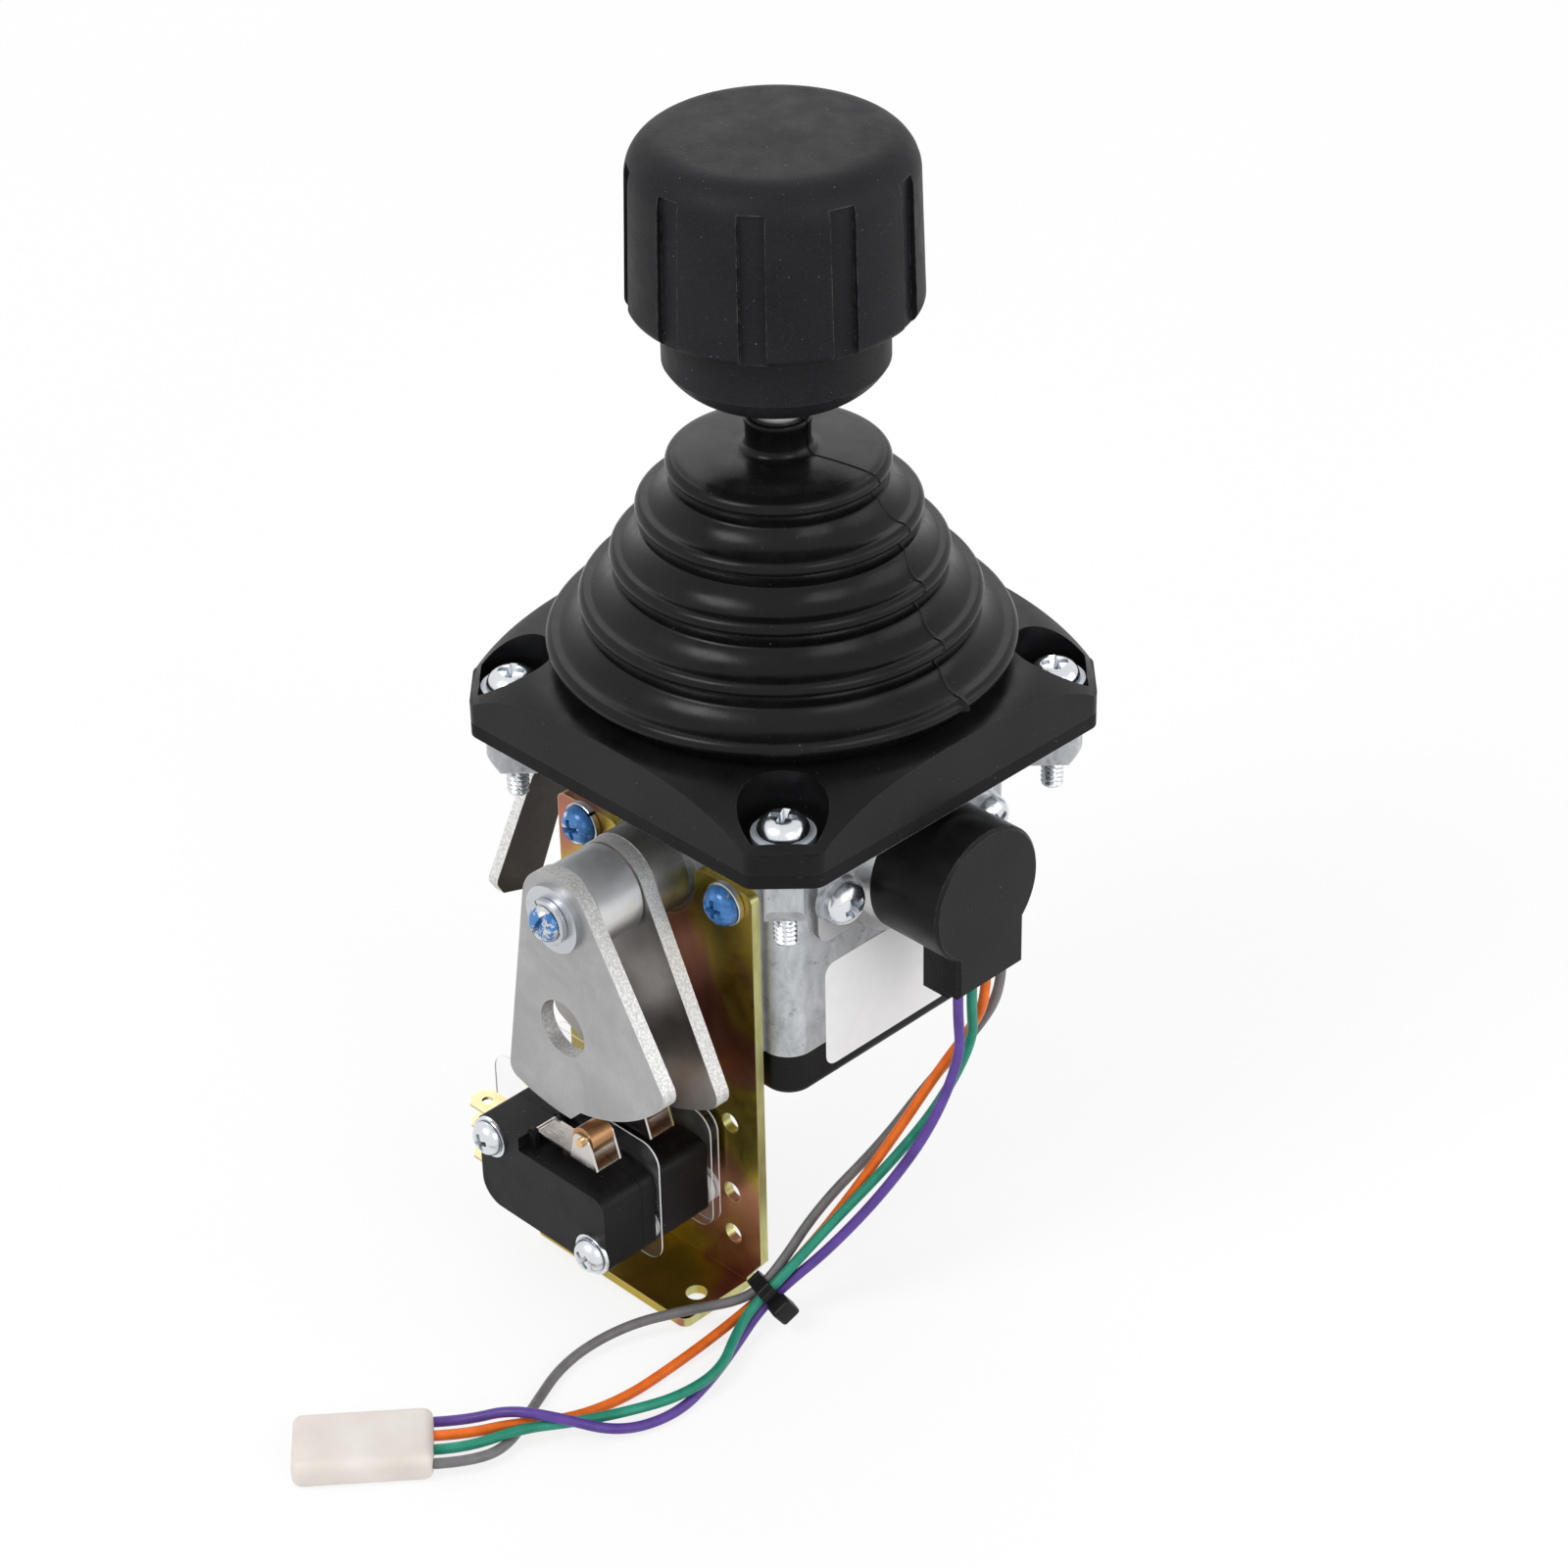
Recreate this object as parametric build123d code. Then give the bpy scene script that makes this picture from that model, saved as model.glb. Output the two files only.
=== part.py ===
from build123d import *
import math
import os

# Two-axis panel joystick with a bellows boot, cam-worked switches and a potentiometer.
# Millimetres. Origin at the centre of the panel face under the gasket, +Z up the lever.
# The -Y side carries the switch bracket, the +X side the potentiometer.

# Panel flange
screw_spacing = 57.15
flange_margin = 7.925
flange_side = screw_spacing + 2 * flange_margin
flange_corner_cut = 7.2
flange_corner_round = 2.5
gasket_height = 2.3
ledge_height = 3.2
screw_radius = 1.75
screw_core_radius = 1.45
screw_length = 19.05
screw_head_radius = 3.45
screw_head_height = 2.4
screw_clearance = 0.25
washer_radius = 4.7
washer_height = 1.1
pocket_radius = 6.5
pocket_floor = 4.6
pocket_rim = 1.3
boot_opening_radius = 27.5
crown_height = 11.6
crown_start = 34.0
crown_middle = (40.9, 9.8)
crown_end = 46.4

# Boot: lip radius and lip height of each fold, from the base up
fold_lips = [(34.9, 14.6), (29.8, 21.3), (25.0, 28.4), (21.0, 35.9), (16.4, 42.9)]
fold_bulge = 1.6
fold_rise = 3.4
lip_half = 0.9
groove_depth = 1.9
groove_drop = 1.5
neck_radius = 4.8
neck_top = 50.8
neck_root = 45.4
boot_foot_inset = 2.6
boot_wall = 5.0
boot_gap = 0.3

# Lever and knob
rod_radius = 3.5
pivot_height = -13.5
knob_bottom = 55.0
knob_skirt_top = 68.2
knob_top = 94.0
knob_radius = 21.2
knob_draft = 0.6
knob_skirt_radius = 16.4
knob_foot_radius = 9.0
knob_rim_fillet = 5.8
knob_edge_fillet = 1.8
flute_count = 10
flute_depth = 0.9
flute_width = 3.8
flute_first = -53.4
flute_top = 90.6
knob_socket_depth = 16.0

# Housing
body_side = 49.0
body_corner = 4.5
body_wall = 3.0
body_bottom = -39.8
plate_inset = 2.0
plate_side = flange_side - 2 * plate_inset
plate_corner_cut = 9.0
plate_thickness = 2.0
top_opening_radius = 19.0
lug_width = 6.0
lug_margin = 4.28885
lug_reach = screw_spacing / math.sqrt(2) + lug_margin
lug_foot_reach = 42.7
lug_depth = 8.2
lug_step = 5.2
boss_radius = 7.0
cap_depth = 7.3
cap_wall = 2.0
foot_depth = 0.6
foot_inset = 2.6

# Gimbal
shaft_radius = 3.0
running_clearance = 0.05
yoke_z = 11.0
yoke_side_wall = 4.0
yoke_end_wall = 5.0
yoke_gap = 2.0
block_gap = 0.3
block_side = 10.0
pin_radius = 2.0
tail_radius = 2.5
tail_reach = 17.8
bail_arm = 3.0
bail_width = 12.0
bail_floor = 14.5
bail_strap = 2.0
slot_gap = 0.4
slot_half = 9.0

# Centring springs: close-wound coils round the shafts, legs either side of a post and a dog
spring_wire = 0.6
spring_coil_radius = 4.3
spring_turns = 4
spring_leg = 16.0
spring_side_gap = 0.5
bail_spring_end_gap = 0.2
yoke_spring_end_gap = 2.2
post_radius = 3.6
post_drop = 9.0
dog_top = 13.4
dog_height = 1.6

# Cam train on the shaft along Y
bracket_thickness = 1.6
bracket_pad = 1.0
bracket_pad_half = 19.5
bracket_pad_top = -7.5
collar_radius = 7.4
collar_gap = 0.3
collar_length = 6.1
cam_thickness = 2.5
cam_hub_radius = 7.0
cam_top_radius = 7.3
cam_hole_radius = 4.75
cam_hole_drop = 20.1
cam_high = 36.5
cam_low = 34.3
cam_outer_heel = 31.7
cam_inner_heel = 32.6
cam_outer_shoulders = [(-7.2, 1.2), (6.5, 3.3)]
cam_inner_shoulders = [(-6.8, 2.6), (7.0, 2.0)]
cam_rim_fillets = (2.2, 2.4, 2.6)
cam_bolt_radius = 2.9
cam_bolt_height = 1.8
cam_washer_radius = 5.4
cam_washer_height = 1.0
cam_lock_radius = 3.6
cam_lock_height = 1.1

# Switch bracket
bracket_left = -21.4
bracket_right = 20.2
bracket_top = -10.6
bracket_bottom = -85.6
bracket_foot = 15.0
bracket_foot_half = 17.0
bracket_notch_radius = 8.3
bracket_bend = 1.6
bracket_holes = [(14.3, -54.7), (14.3, -68.0), (14.3, -76.1)]
bracket_hole_radius = 1.7
bracket_screw_x = 15.25
bracket_screw_radius = 1.75
bracket_screw_head = 3.2
bracket_screw_head_height = 2.2
bracket_lock_radius = 3.5
bracket_lock_height = 1.1

# Miniature snap switches, drawn from the left mounting hole
switch_width = 10.3
switch_gap = 0.7
switch_left = -16.3
switch_right = 11.5
switch_top = -55.9
switch_bottom = -71.8
switch_hole_a = (-13.5, -58.7)
switch_hole_b = (8.7, -69.0)
switch_hole_radius = 1.55
switch_screw_radius = 1.45
switch_screw_head = 2.85
switch_screw_head_height = 2.0
switch_washer_radius = 3.4
switch_washer_height = 0.5
switch_step = 2.3
lever_hinge = (-6.6, -55.7)
hinge_radius = 0.4
ear_thickness = 0.9
ear_gap = 0.1
plunger_gap = 0.2
leaf_thickness = 0.35
leaf_width = 4.2
leaf_right = 7.4
roller_centre = (4.2, -51.9)
roller_radius = 2.3
roller_width = 4.1
roller_pin_radius = 0.75
plunger_radius = 1.0
plunger_x = -1.6
sheet_thickness = 0.25
sheet_left = -24.5
sheet_right = 12.4
sheet_top = -53.6
sheet_bottom = -75.5
terminal_length = 6.6
terminal_width = 4.7
terminal_thickness = 0.5
switch_nut_radius = 3.1
switch_nut_height = 2.4
switch_screw_end = 0.8
terminal_heights = (-58.6, -62.6, -68.6)

# Potentiometer
pot_plate_thickness = 1.0
pot_screw_y = 15.5
pot_plate_half_y = 18.8
pot_plate_half_z = 7.2
pot_plate_round = 12.4
pot_plate_top = -2.4
pot_ring_radius = 10.7
pot_ring_length = 2.8
pot_radius = 10.9
pot_length = 13.4
pot_block_length = 8.5
pot_block_low_y = -4.7
pot_block_high_y = 8.0
pot_block_drop = 15.8
pot_cover_length = 3.6
pot_cover_low_y = -6.0
pot_skirt_drop = 17.8
pot_screw_head = 3.3
pot_screw_head_height = 2.2
pot_washer_radius = 3.9
pot_washer_height = 0.9
pot_lock_radius = 3.4
pot_lock_height = 1.1

# Crank arm on the far end of the shaft along X
arm_boss = 1.5
arm_gap = 0.3
arm_spacer_length = 5.0
arm_thickness = 2.0
arm_spacer_radius = 5.5
arm_hub_radius = 6.5
arm_outline = [(0, 5.5), (-20.5, 2.0), (-23.4, -0.8), (-32.0, -16.6), (-30.6, -18.9),
               (-25.0, -20.6), (-22.9, -19.3), (-17.0, -6.5), (0, -5.5)]

# Wires, tie and connector
wire_radius = 0.8
bundle_half = 0.86
tie_centre = Vector(24.5, -30.0, -80.0)
tie_axis = Vector(-2.6, -8.0, -6.0).normalized()
tie_width = 2.4
tie_wall = 1.0
connector_end = Vector(10.2, -85.2, -83.6)
connector_axis = Vector(0.656, 0.755, 0.0).normalized()
connector_length = 20.8
connector_width = 12.0
connector_height = 4.8
connector_round = 1.6
connector_chamfer = 0.8
connector_pitch = 3.0

half_flange = flange_side / 2
half_body = body_side / 2
half_screws = screw_spacing / 2
cover_bottom = gasket_height
ledge_top = gasket_height + ledge_height
bracket_seat = half_body + bracket_pad
cap_bottom = body_bottom - cap_depth
wall_face = half_body - body_wall
spring_length = 2 * spring_wire * spring_turns
bail_outer = wall_face - bail_spring_end_gap - spring_length - spring_side_gap
bail_arm_inner = bail_outer - bail_arm
yoke_x = 2 * (bail_arm_inner - yoke_gap)
yoke_window_x = yoke_x - 2 * yoke_side_wall
block_x = yoke_window_x - 2 * block_gap
dog_plate = 1.0
yoke_y = 2 * (wall_face - yoke_spring_end_gap - spring_length - spring_side_gap - dog_plate)
yoke_window_y = yoke_y - 2 * yoke_end_wall
bracket_face = bracket_seat + bracket_thickness
cam_hub_length = switch_width + switch_gap - cam_thickness
inner_cam_face = bracket_face + collar_gap + collar_length + cam_thickness
outer_cam_face = inner_cam_face + cam_hub_length + cam_thickness
pot_end = half_body + pot_plate_thickness + pot_ring_length + pot_length
pot_block_bottom = pivot_height - pot_block_drop
arm_face = -half_body - arm_boss - arm_gap - arm_spacer_length
front_switch_y = -(outer_cam_face - cam_thickness / 2)
rear_switch_y = -(inner_cam_face - cam_thickness / 2)

os.makedirs("parts", exist_ok=True)


def save(shape, name):
    export_step(shape, "parts/" + name + ".step")


def along(axis, radius, start, end, at=(0, 0)):
    """A cylinder along one axis between two stations; at gives the other two coordinates."""
    length = abs(end - start)
    middle = (start + end) / 2
    if axis == "x":
        return Pos(middle, at[0], at[1]) * Rot(0, 90, 0) * Cylinder(radius, length)
    if axis == "y":
        return Pos(at[0], middle, at[1]) * Rot(90, 0, 0) * Cylinder(radius, length)
    return Pos(at[0], at[1], middle) * Cylinder(radius, length)


def tube(axis, outer, inner, start, end, at=(0, 0)):
    return along(axis, outer, start, end, at) - along(axis, inner, start - 1, end + 1, at)


def pan_head(radius, height):
    """Pan head standing on the XY plane, rounded towards a small flat crown."""
    crown = radius * 0.4
    edges = [
        Line((0, 0), (radius, 0)),
        Line((radius, 0), (radius, height * 0.45)),
        ThreePointArc((radius, height * 0.45), (radius * 0.8, height * 0.87), (crown, height)),
        Line((crown, height), (0, height)),
        Line((0, height), (0, 0)),
    ]
    return revolve(Plane.XZ * make_face(Curve(edges)), Axis.Z)


def cut_square(side, cut, rounding=0):
    """Square outline with its four corners cut off at 45 degrees and the eight points eased."""
    h = side / 2
    k = h - cut
    points = [(k, -h), (h, -k), (h, k), (k, h), (-k, h), (-h, k), (-h, -k), (-k, -h)]
    face = make_face(Polyline(*points, close=True))
    return fillet(face.vertices(), rounding) if rounding else face


def slab(face, bottom, top):
    return Pos(0, 0, bottom) * extrude(face, top - bottom)


def xz_slab(face, y_front, y_back):
    """Extrudes a face drawn in x and z between two stations on Y."""
    placed = Plane(origin=(0, y_back, 0), x_dir=(1, 0, 0), z_dir=(0, -1, 0)) * face
    return extrude(placed, y_back - y_front)


def yz_slab(face, x_low, x_high):
    """Extrudes a face drawn in y and z between two stations on X."""
    placed = Plane(origin=(x_low, 0, 0), x_dir=(0, 1, 0), z_dir=(1, 0, 0)) * face
    return extrude(placed, x_high - x_low)


def corner_points():
    h = half_screws
    return [(h, -h), (h, h), (-h, h), (-h, -h)]


def build_cover():
    outline = cut_square(flange_side, flange_corner_cut, flange_corner_round)
    outline = slab(outline, cover_bottom, crown_height + 1)
    crown = [
        Line((0, cover_bottom), (0, crown_height)),
        Line((0, crown_height), (crown_start, crown_height)),
        ThreePointArc((crown_start, crown_height), crown_middle, (crown_end, ledge_top)),
        Line((crown_end, ledge_top), (flange_side, ledge_top)),
        Line((flange_side, ledge_top), (flange_side, cover_bottom)),
        Line((flange_side, cover_bottom), (0, cover_bottom)),
    ]
    cover = outline & revolve(Plane.XZ * make_face(Curve(crown)), Axis.Z)
    cover -= along("z", boot_opening_radius, cover_bottom - 1, crown_height + 1)
    rim_reach = (half_flange - flange_corner_cut / 2) * math.sqrt(2) - pocket_rim
    for turn in (-45, 45, 135, 225):
        screw_reach = half_screws * math.sqrt(2)
        pocket = along("z", pocket_radius, pocket_floor, crown_height + 2, (screw_reach, 0))
        limit = Pos(rim_reach - 20, 0, pocket_floor) * Box(40, 40, 40)
        cover -= Rot(0, 0, turn) * (pocket & limit)
    for point in corner_points():
        cover -= along("z", screw_radius + screw_clearance, 0, pocket_floor + 1, point)
    return cover


def build_gasket():
    gasket = slab(cut_square(flange_side, flange_corner_cut, flange_corner_round), 0, gasket_height)
    gasket -= along("z", boot_opening_radius, -1, gasket_height + 1)
    for point in corner_points():
        gasket -= along("z", screw_radius + screw_clearance, -1, gasket_height + 1, point)
    return gasket


def build_corner_fasteners():
    seat = pocket_floor + washer_height
    washers = []
    screws = []
    for point in corner_points():
        ring = tube("z", washer_radius, screw_radius + screw_clearance, pocket_floor, seat, point)
        washers.append(ring)
        head = Pos(point[0], point[1], seat) * pan_head(screw_head_radius, screw_head_height)
        core = along("z", screw_core_radius, -lug_depth, seat + 0.5, point)
        thread = along("z", screw_radius, seat - screw_length, -lug_depth, point)
        screws.append(head + core + thread)
    return Compound(washers), Compound(screws)


def build_boot():
    base_radius, base_height = fold_lips[0]
    edges = []
    start = (base_radius - boot_foot_inset, crown_height)
    inner_foot = (base_radius - boot_wall, crown_height)
    root = (base_radius - boot_foot_inset, base_height - lip_half - 0.3)
    under = (base_radius - 0.5, base_height - lip_half)
    edges.append(Line(inner_foot, start))
    edges.append(Line(start, root))
    edges.append(Line(root, under))
    edges.append(Line(under, (base_radius, base_height - lip_half / 3)))
    edges.append(Line((base_radius, base_height - lip_half / 3), (base_radius, base_height + lip_half)))
    for index, (radius, height) in enumerate(fold_lips[:-1]):
        top = (radius, height + lip_half)
        next_radius, next_height = fold_lips[index + 1]
        groove = (next_radius - groove_depth, next_height - groove_drop)
        bulge = (radius - fold_bulge, height + fold_rise)
        under = (next_radius - 0.5, next_height - lip_half)
        edges.append(ThreePointArc(top, bulge, groove))
        edges.append(Line(groove, under))
        edges.append(Line(under, (next_radius, next_height - lip_half / 3)))
        edges.append(Line((next_radius, next_height - lip_half / 3), (next_radius, next_height + lip_half)))
    tip_radius, tip_height = fold_lips[-1]
    shoulder = (neck_radius + 1.2, neck_root - 0.2)
    edges.append(ThreePointArc((tip_radius, tip_height + lip_half),
                               (tip_radius - 3.6, tip_height + 1.9), shoulder))
    edges.append(Line(shoulder, (neck_radius, neck_root + 1.0)))
    edges.append(Line((neck_radius, neck_root + 1.0), (neck_radius, neck_top)))
    inner_neck = rod_radius + boot_gap
    edges.append(Line((neck_radius, neck_top), (inner_neck, neck_top)))
    edges.append(Line((inner_neck, neck_top), (inner_neck, neck_root - 1.8)))
    second = fold_lips[1][0] - groove_depth - 1.5
    last = tip_radius - groove_depth - 1.5
    edges.append(Line((inner_neck, neck_root - 1.8), (last, tip_height - groove_drop - 0.4)))
    edges.append(Line((last, tip_height - groove_drop - 0.4), (second, fold_lips[1][1] - groove_drop - 0.6)))
    edges.append(Line((second, fold_lips[1][1] - groove_drop - 0.6), inner_foot))
    return revolve(Plane.XZ * make_face(Curve(edges)), Axis.Z)


def build_knob():
    upper = knob_radius - knob_draft
    rim = knob_rim_fillet
    edge = knob_edge_fillet
    profile = [
        Line((0, knob_bottom), (knob_foot_radius, knob_bottom)),
        ThreePointArc((knob_foot_radius, knob_bottom), (knob_skirt_radius - 2.6, knob_bottom + 2.0),
                      (knob_skirt_radius, knob_bottom + 5.0)),
        Line((knob_skirt_radius, knob_bottom + 5.0), (knob_skirt_radius, knob_skirt_top)),
        Line((knob_skirt_radius, knob_skirt_top), (knob_radius - edge, knob_skirt_top)),
        ThreePointArc((knob_radius - edge, knob_skirt_top),
                      (knob_radius - edge * 0.29, knob_skirt_top + edge * 0.29),
                      (knob_radius, knob_skirt_top + edge)),
        Line((knob_radius, knob_skirt_top + edge), (upper, knob_top - rim)),
        ThreePointArc((upper, knob_top - rim), (upper - rim * 0.29, knob_top - rim * 0.29),
                      (upper - rim, knob_top)),
        Line((upper - rim, knob_top), (0, knob_top + 0.5)),
        Line((0, knob_top + 0.5), (0, knob_bottom)),
    ]
    knob = revolve(Plane.XZ * make_face(Curve(profile)), Axis.Z)
    draft = math.degrees(math.atan(knob_draft / (knob_top - knob_skirt_top)))
    reach = knob_radius - flute_depth + flute_width / 2
    length = flute_top - knob_skirt_top + 4
    for copy in range(flute_count):
        turn = flute_first + copy * 360 / flute_count
        cutter = Pos(reach, 0, knob_skirt_top - 4) * Rot(0, -draft, 0) * Pos(0, 0, length / 2)
        knob -= Rot(0, 0, turn) * cutter * Box(flute_width, flute_width, length)
    knob -= along("z", rod_radius, knob_bottom - 1, knob_bottom + knob_socket_depth)
    return knob


def build_lug():
    """Corner lug drawn in reach and height, then turned to a corner."""
    inner = half_body + 1
    points = [(inner, 0), (lug_reach, 0), (lug_reach, -lug_step), (lug_foot_reach, -lug_depth),
              (inner, -lug_depth)]
    face = make_face(Polyline(*points, close=True))
    lug = xz_slab(face, -lug_width / 2, lug_width / 2)
    lug = fillet(lug.edges().filter_by(Axis.Z).group_by(Axis.X)[-1], 1.2)
    return lug


def build_casting():
    outer = RectangleRounded(body_side, body_side, body_corner)
    inner = RectangleRounded(body_side - 2 * body_wall, body_side - 2 * body_wall, body_corner - 2)
    casting = slab(outer, body_bottom, 0)
    casting += slab(cut_square(plate_side, plate_corner_cut), -plate_thickness, 0)
    for turn in (-45, 45, 135, 225):
        casting += Rot(0, 0, turn) * build_lug()
    pad_height = bracket_pad_top - body_bottom
    pad = Box(2 * bracket_pad_half, bracket_pad + 1, pad_height)
    casting += Pos(0, -bracket_seat + (bracket_pad + 1) / 2, body_bottom + pad_height / 2) * pad
    casting += along("y", boss_radius, -bracket_face, -half_body + 1, (0, pivot_height))
    casting += along("y", boss_radius, half_body - 1, half_body + 4, (0, pivot_height))
    casting += along("x", boss_radius, -half_body - arm_boss, -half_body + 1, (0, pivot_height))
    casting -= slab(inner, body_bottom - 1, -body_wall)
    casting -= along("z", top_opening_radius, -body_wall - 1, 1)
    bore = shaft_radius + running_clearance
    casting -= along("y", bore, -bracket_face - 1, half_body + 2.5, (0, pivot_height))
    casting -= along("x", bore, -half_body - arm_boss - 1, half_body + 1, (0, pivot_height))
    post_height = pivot_height - post_drop
    yoke_post = yoke_y / 2 + dog_plate + spring_side_gap
    casting += along("y", post_radius, yoke_post, wall_face + 1, (0, post_height))
    casting += along("x", post_radius, bail_outer + spring_side_gap, wall_face + 1, (0, post_height))
    for point in corner_points():
        casting -= along("z", screw_core_radius, -lug_depth - 1, 1, point)
    for x in (-bracket_screw_x, bracket_screw_x):
        at = (x, pivot_height)
        casting -= along("y", bracket_screw_radius, -bracket_seat - 1, -wall_face - 0.5, at)
    for y in (-pot_screw_y, pot_screw_y):
        casting -= along("x", bracket_screw_radius, wall_face + 0.5, half_body + 1, (y, pivot_height))
    return casting


def build_bottom_cap():
    cap = slab(RectangleRounded(body_side, body_side, body_corner), cap_bottom, body_bottom)
    cap = fillet(cap.edges().group_by(Axis.Z)[0], 1.4)
    side = body_side - 2 * body_wall
    cap -= slab(RectangleRounded(side, side, body_corner - 2), cap_bottom + cap_wall, body_bottom + 1)
    foot_side = body_side - 2 * foot_inset
    foot = slab(RectangleRounded(foot_side, foot_side, body_corner - 1), cap_bottom - foot_depth, cap_bottom)
    return cap, foot


def build_dog():
    """Tab between the legs of a spring, starting on the XZ plane and reaching over the coils."""
    reach = dog_plate + 2 * spring_side_gap + spring_length
    return Pos(0, reach / 2, 0) * Box(2 * post_radius, reach, dog_height)


def build_spring(start):
    """Torsion spring round the Y axis from a given station, legs hanging down."""
    inner = spring_coil_radius - spring_wire
    edges = []
    for turn in range(spring_turns):
        low = start + 2 * spring_wire * turn
        high = low + 2 * spring_wire
        crest = (spring_coil_radius + spring_wire, (low + high) / 2)
        edges.append(ThreePointArc((spring_coil_radius, low), crest, (spring_coil_radius, high)))
    end = start + spring_length
    edges.append(Line((spring_coil_radius, end), (inner, end)))
    edges.append(Line((inner, end), (inner, start)))
    edges.append(Line((inner, start), (spring_coil_radius, start)))
    coil = revolve(make_face(Curve(edges)), Axis.Y)
    for side, station in ((1, start + spring_wire), (-1, end - spring_wire)):
        leg_radius = spring_wire - 0.06
        coil += along("z", leg_radius, -spring_leg, 0, (side * spring_coil_radius, station))
    return coil


def build_springs():
    rear = Pos(0, 0, pivot_height) * build_spring(yoke_y / 2 + dog_plate + spring_side_gap)
    side = Rot(0, 0, -90) * build_spring(bail_outer + spring_side_gap)
    side = Pos(0, 0, pivot_height) * side
    return Compound([rear, side])


def build_yoke():
    yoke = Pos(0, 0, pivot_height) * Box(yoke_x, yoke_y, yoke_z)
    yoke -= Pos(0, 0, pivot_height) * Box(yoke_window_x, yoke_window_y, yoke_z + 2)
    yoke = fillet(yoke.edges().filter_by(Axis.Y).group_by(Axis.X)[0], 1.5)
    yoke = fillet(yoke.edges().filter_by(Axis.Y).group_by(Axis.X)[-1], 1.5)
    yoke -= along("y", shaft_radius, -yoke_y, yoke_y, (0, pivot_height))
    yoke -= along("x", pin_radius, -yoke_x, yoke_x, (0, pivot_height))
    face = yoke_y / 2
    arm_base = -dog_top - dog_height
    arm_middle = pivot_height + arm_base / 2
    yoke += Pos(0, face + dog_plate / 2, arm_middle) * Box(2 * post_radius, dog_plate, -arm_base)
    yoke += Pos(0, face, pivot_height - dog_top - dog_height / 2) * build_dog()
    yoke -= along("y", shaft_radius, -yoke_y, yoke_y, (0, pivot_height))
    pin = along("x", pin_radius, -yoke_x / 2, yoke_x / 2, (0, pivot_height))
    return yoke, pin


def build_y_shafts():
    front = along("y", shaft_radius, -outer_cam_face, -yoke_window_y / 2, (0, pivot_height))
    rear = along("y", shaft_radius, yoke_window_y / 2, half_body + 2.2, (0, pivot_height))
    return front, rear


def build_lever():
    block = Pos(0, 0, pivot_height) * Box(block_x, block_side, block_side)
    block = fillet(block.edges().filter_by(Axis.X), 1.5)
    rod = along("z", rod_radius, pivot_height, knob_bottom + knob_socket_depth)
    tail = along("z", tail_radius, pivot_height - tail_reach, pivot_height)
    lever = block + rod + tail
    lever = chamfer(lever.edges().group_by(Axis.Z)[0], 0.6)
    lever -= along("x", pin_radius + running_clearance, -block_x, block_x, (0, pivot_height))
    return lever


def build_bail():
    outer = bail_outer
    low = bail_floor + bail_strap
    half_width = bail_width / 2
    profile = make_face(Polyline((-outer, 0), (-outer, -low), (outer, -low), (outer, 0),
                                 (bail_arm_inner, 0), (bail_arm_inner, -bail_floor),
                                 (-bail_arm_inner, -bail_floor), (-bail_arm_inner, 0), close=True))
    bail = Pos(0, 0, pivot_height) * xz_slab(profile, -half_width, half_width)
    for side in (-1, 1):
        start = side * bail_arm_inner
        end = side * outer
        bail += along("x", half_width, start, end, (0, pivot_height))
    dog = Rot(0, 0, -90) * build_dog()
    dog_end = wall_face - 0.3
    dog = Pos(outer, 0, pivot_height - dog_top - dog_height / 2) * dog
    bail += dog & Pos(dog_end / 2, 0, pivot_height - dog_top) * Box(dog_end, 40, 20)
    slot_width = 2 * (tail_radius + slot_gap)
    slot = SlotOverall(2 * slot_half, slot_width)
    bail -= slab(slot, pivot_height - low - 1, pivot_height - bail_floor + 1)
    bail -= along("x", shaft_radius, -outer - 1, outer + 1, (0, pivot_height))
    pot_shaft = along("x", shaft_radius, bail_arm_inner, pot_end - 4, (0, pivot_height))
    arm_shaft = along("x", shaft_radius, arm_face - arm_thickness, -bail_arm_inner, (0, pivot_height))
    return bail, pot_shaft, arm_shaft


def cam_arc(radius_a, angle_a, radius_b, angle_b):
    """Arc about the shaft, angles from straight down towards +X, with a slow change of radius."""
    middle = (angle_a + angle_b) / 2
    radius_m = (radius_a + radius_b) / 2
    points = []
    for radius, angle in ((radius_a, angle_a), (radius_m, middle), (radius_b, angle_b)):
        t = math.radians(angle)
        points.append((radius * math.sin(t), -radius * math.cos(t)))
    return ThreePointArc(*points)


def cam_face(arcs, corner_left, corner_right, start, end):
    """Closes a cam outline: hub arc on top, straight flanks and the given rim arcs."""
    top = ThreePointArc(start, (0, cam_top_radius), end)
    edges = [top, Line(end, arcs[0] @ 0)]
    for index, arc in enumerate(arcs):
        edges.append(arc)
        if index + 1 < len(arcs):
            edges.append(Line(arc @ 1, arcs[index + 1] @ 0))
    edges.append(Line(arcs[-1] @ 1, start))
    face = make_face(Curve(edges))
    for radius, corner in ((corner_right, arcs[0] @ 0), (corner_left, arcs[-1] @ 1)):
        nearest = min(face.vertices(), key=lambda v: (Vector(v) - corner).length)
        face = fillet(nearest, radius)
    hole = Pos(0, -cam_hole_drop) * Circle(cam_hole_radius)
    return face - hole - Circle(shaft_radius)


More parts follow.
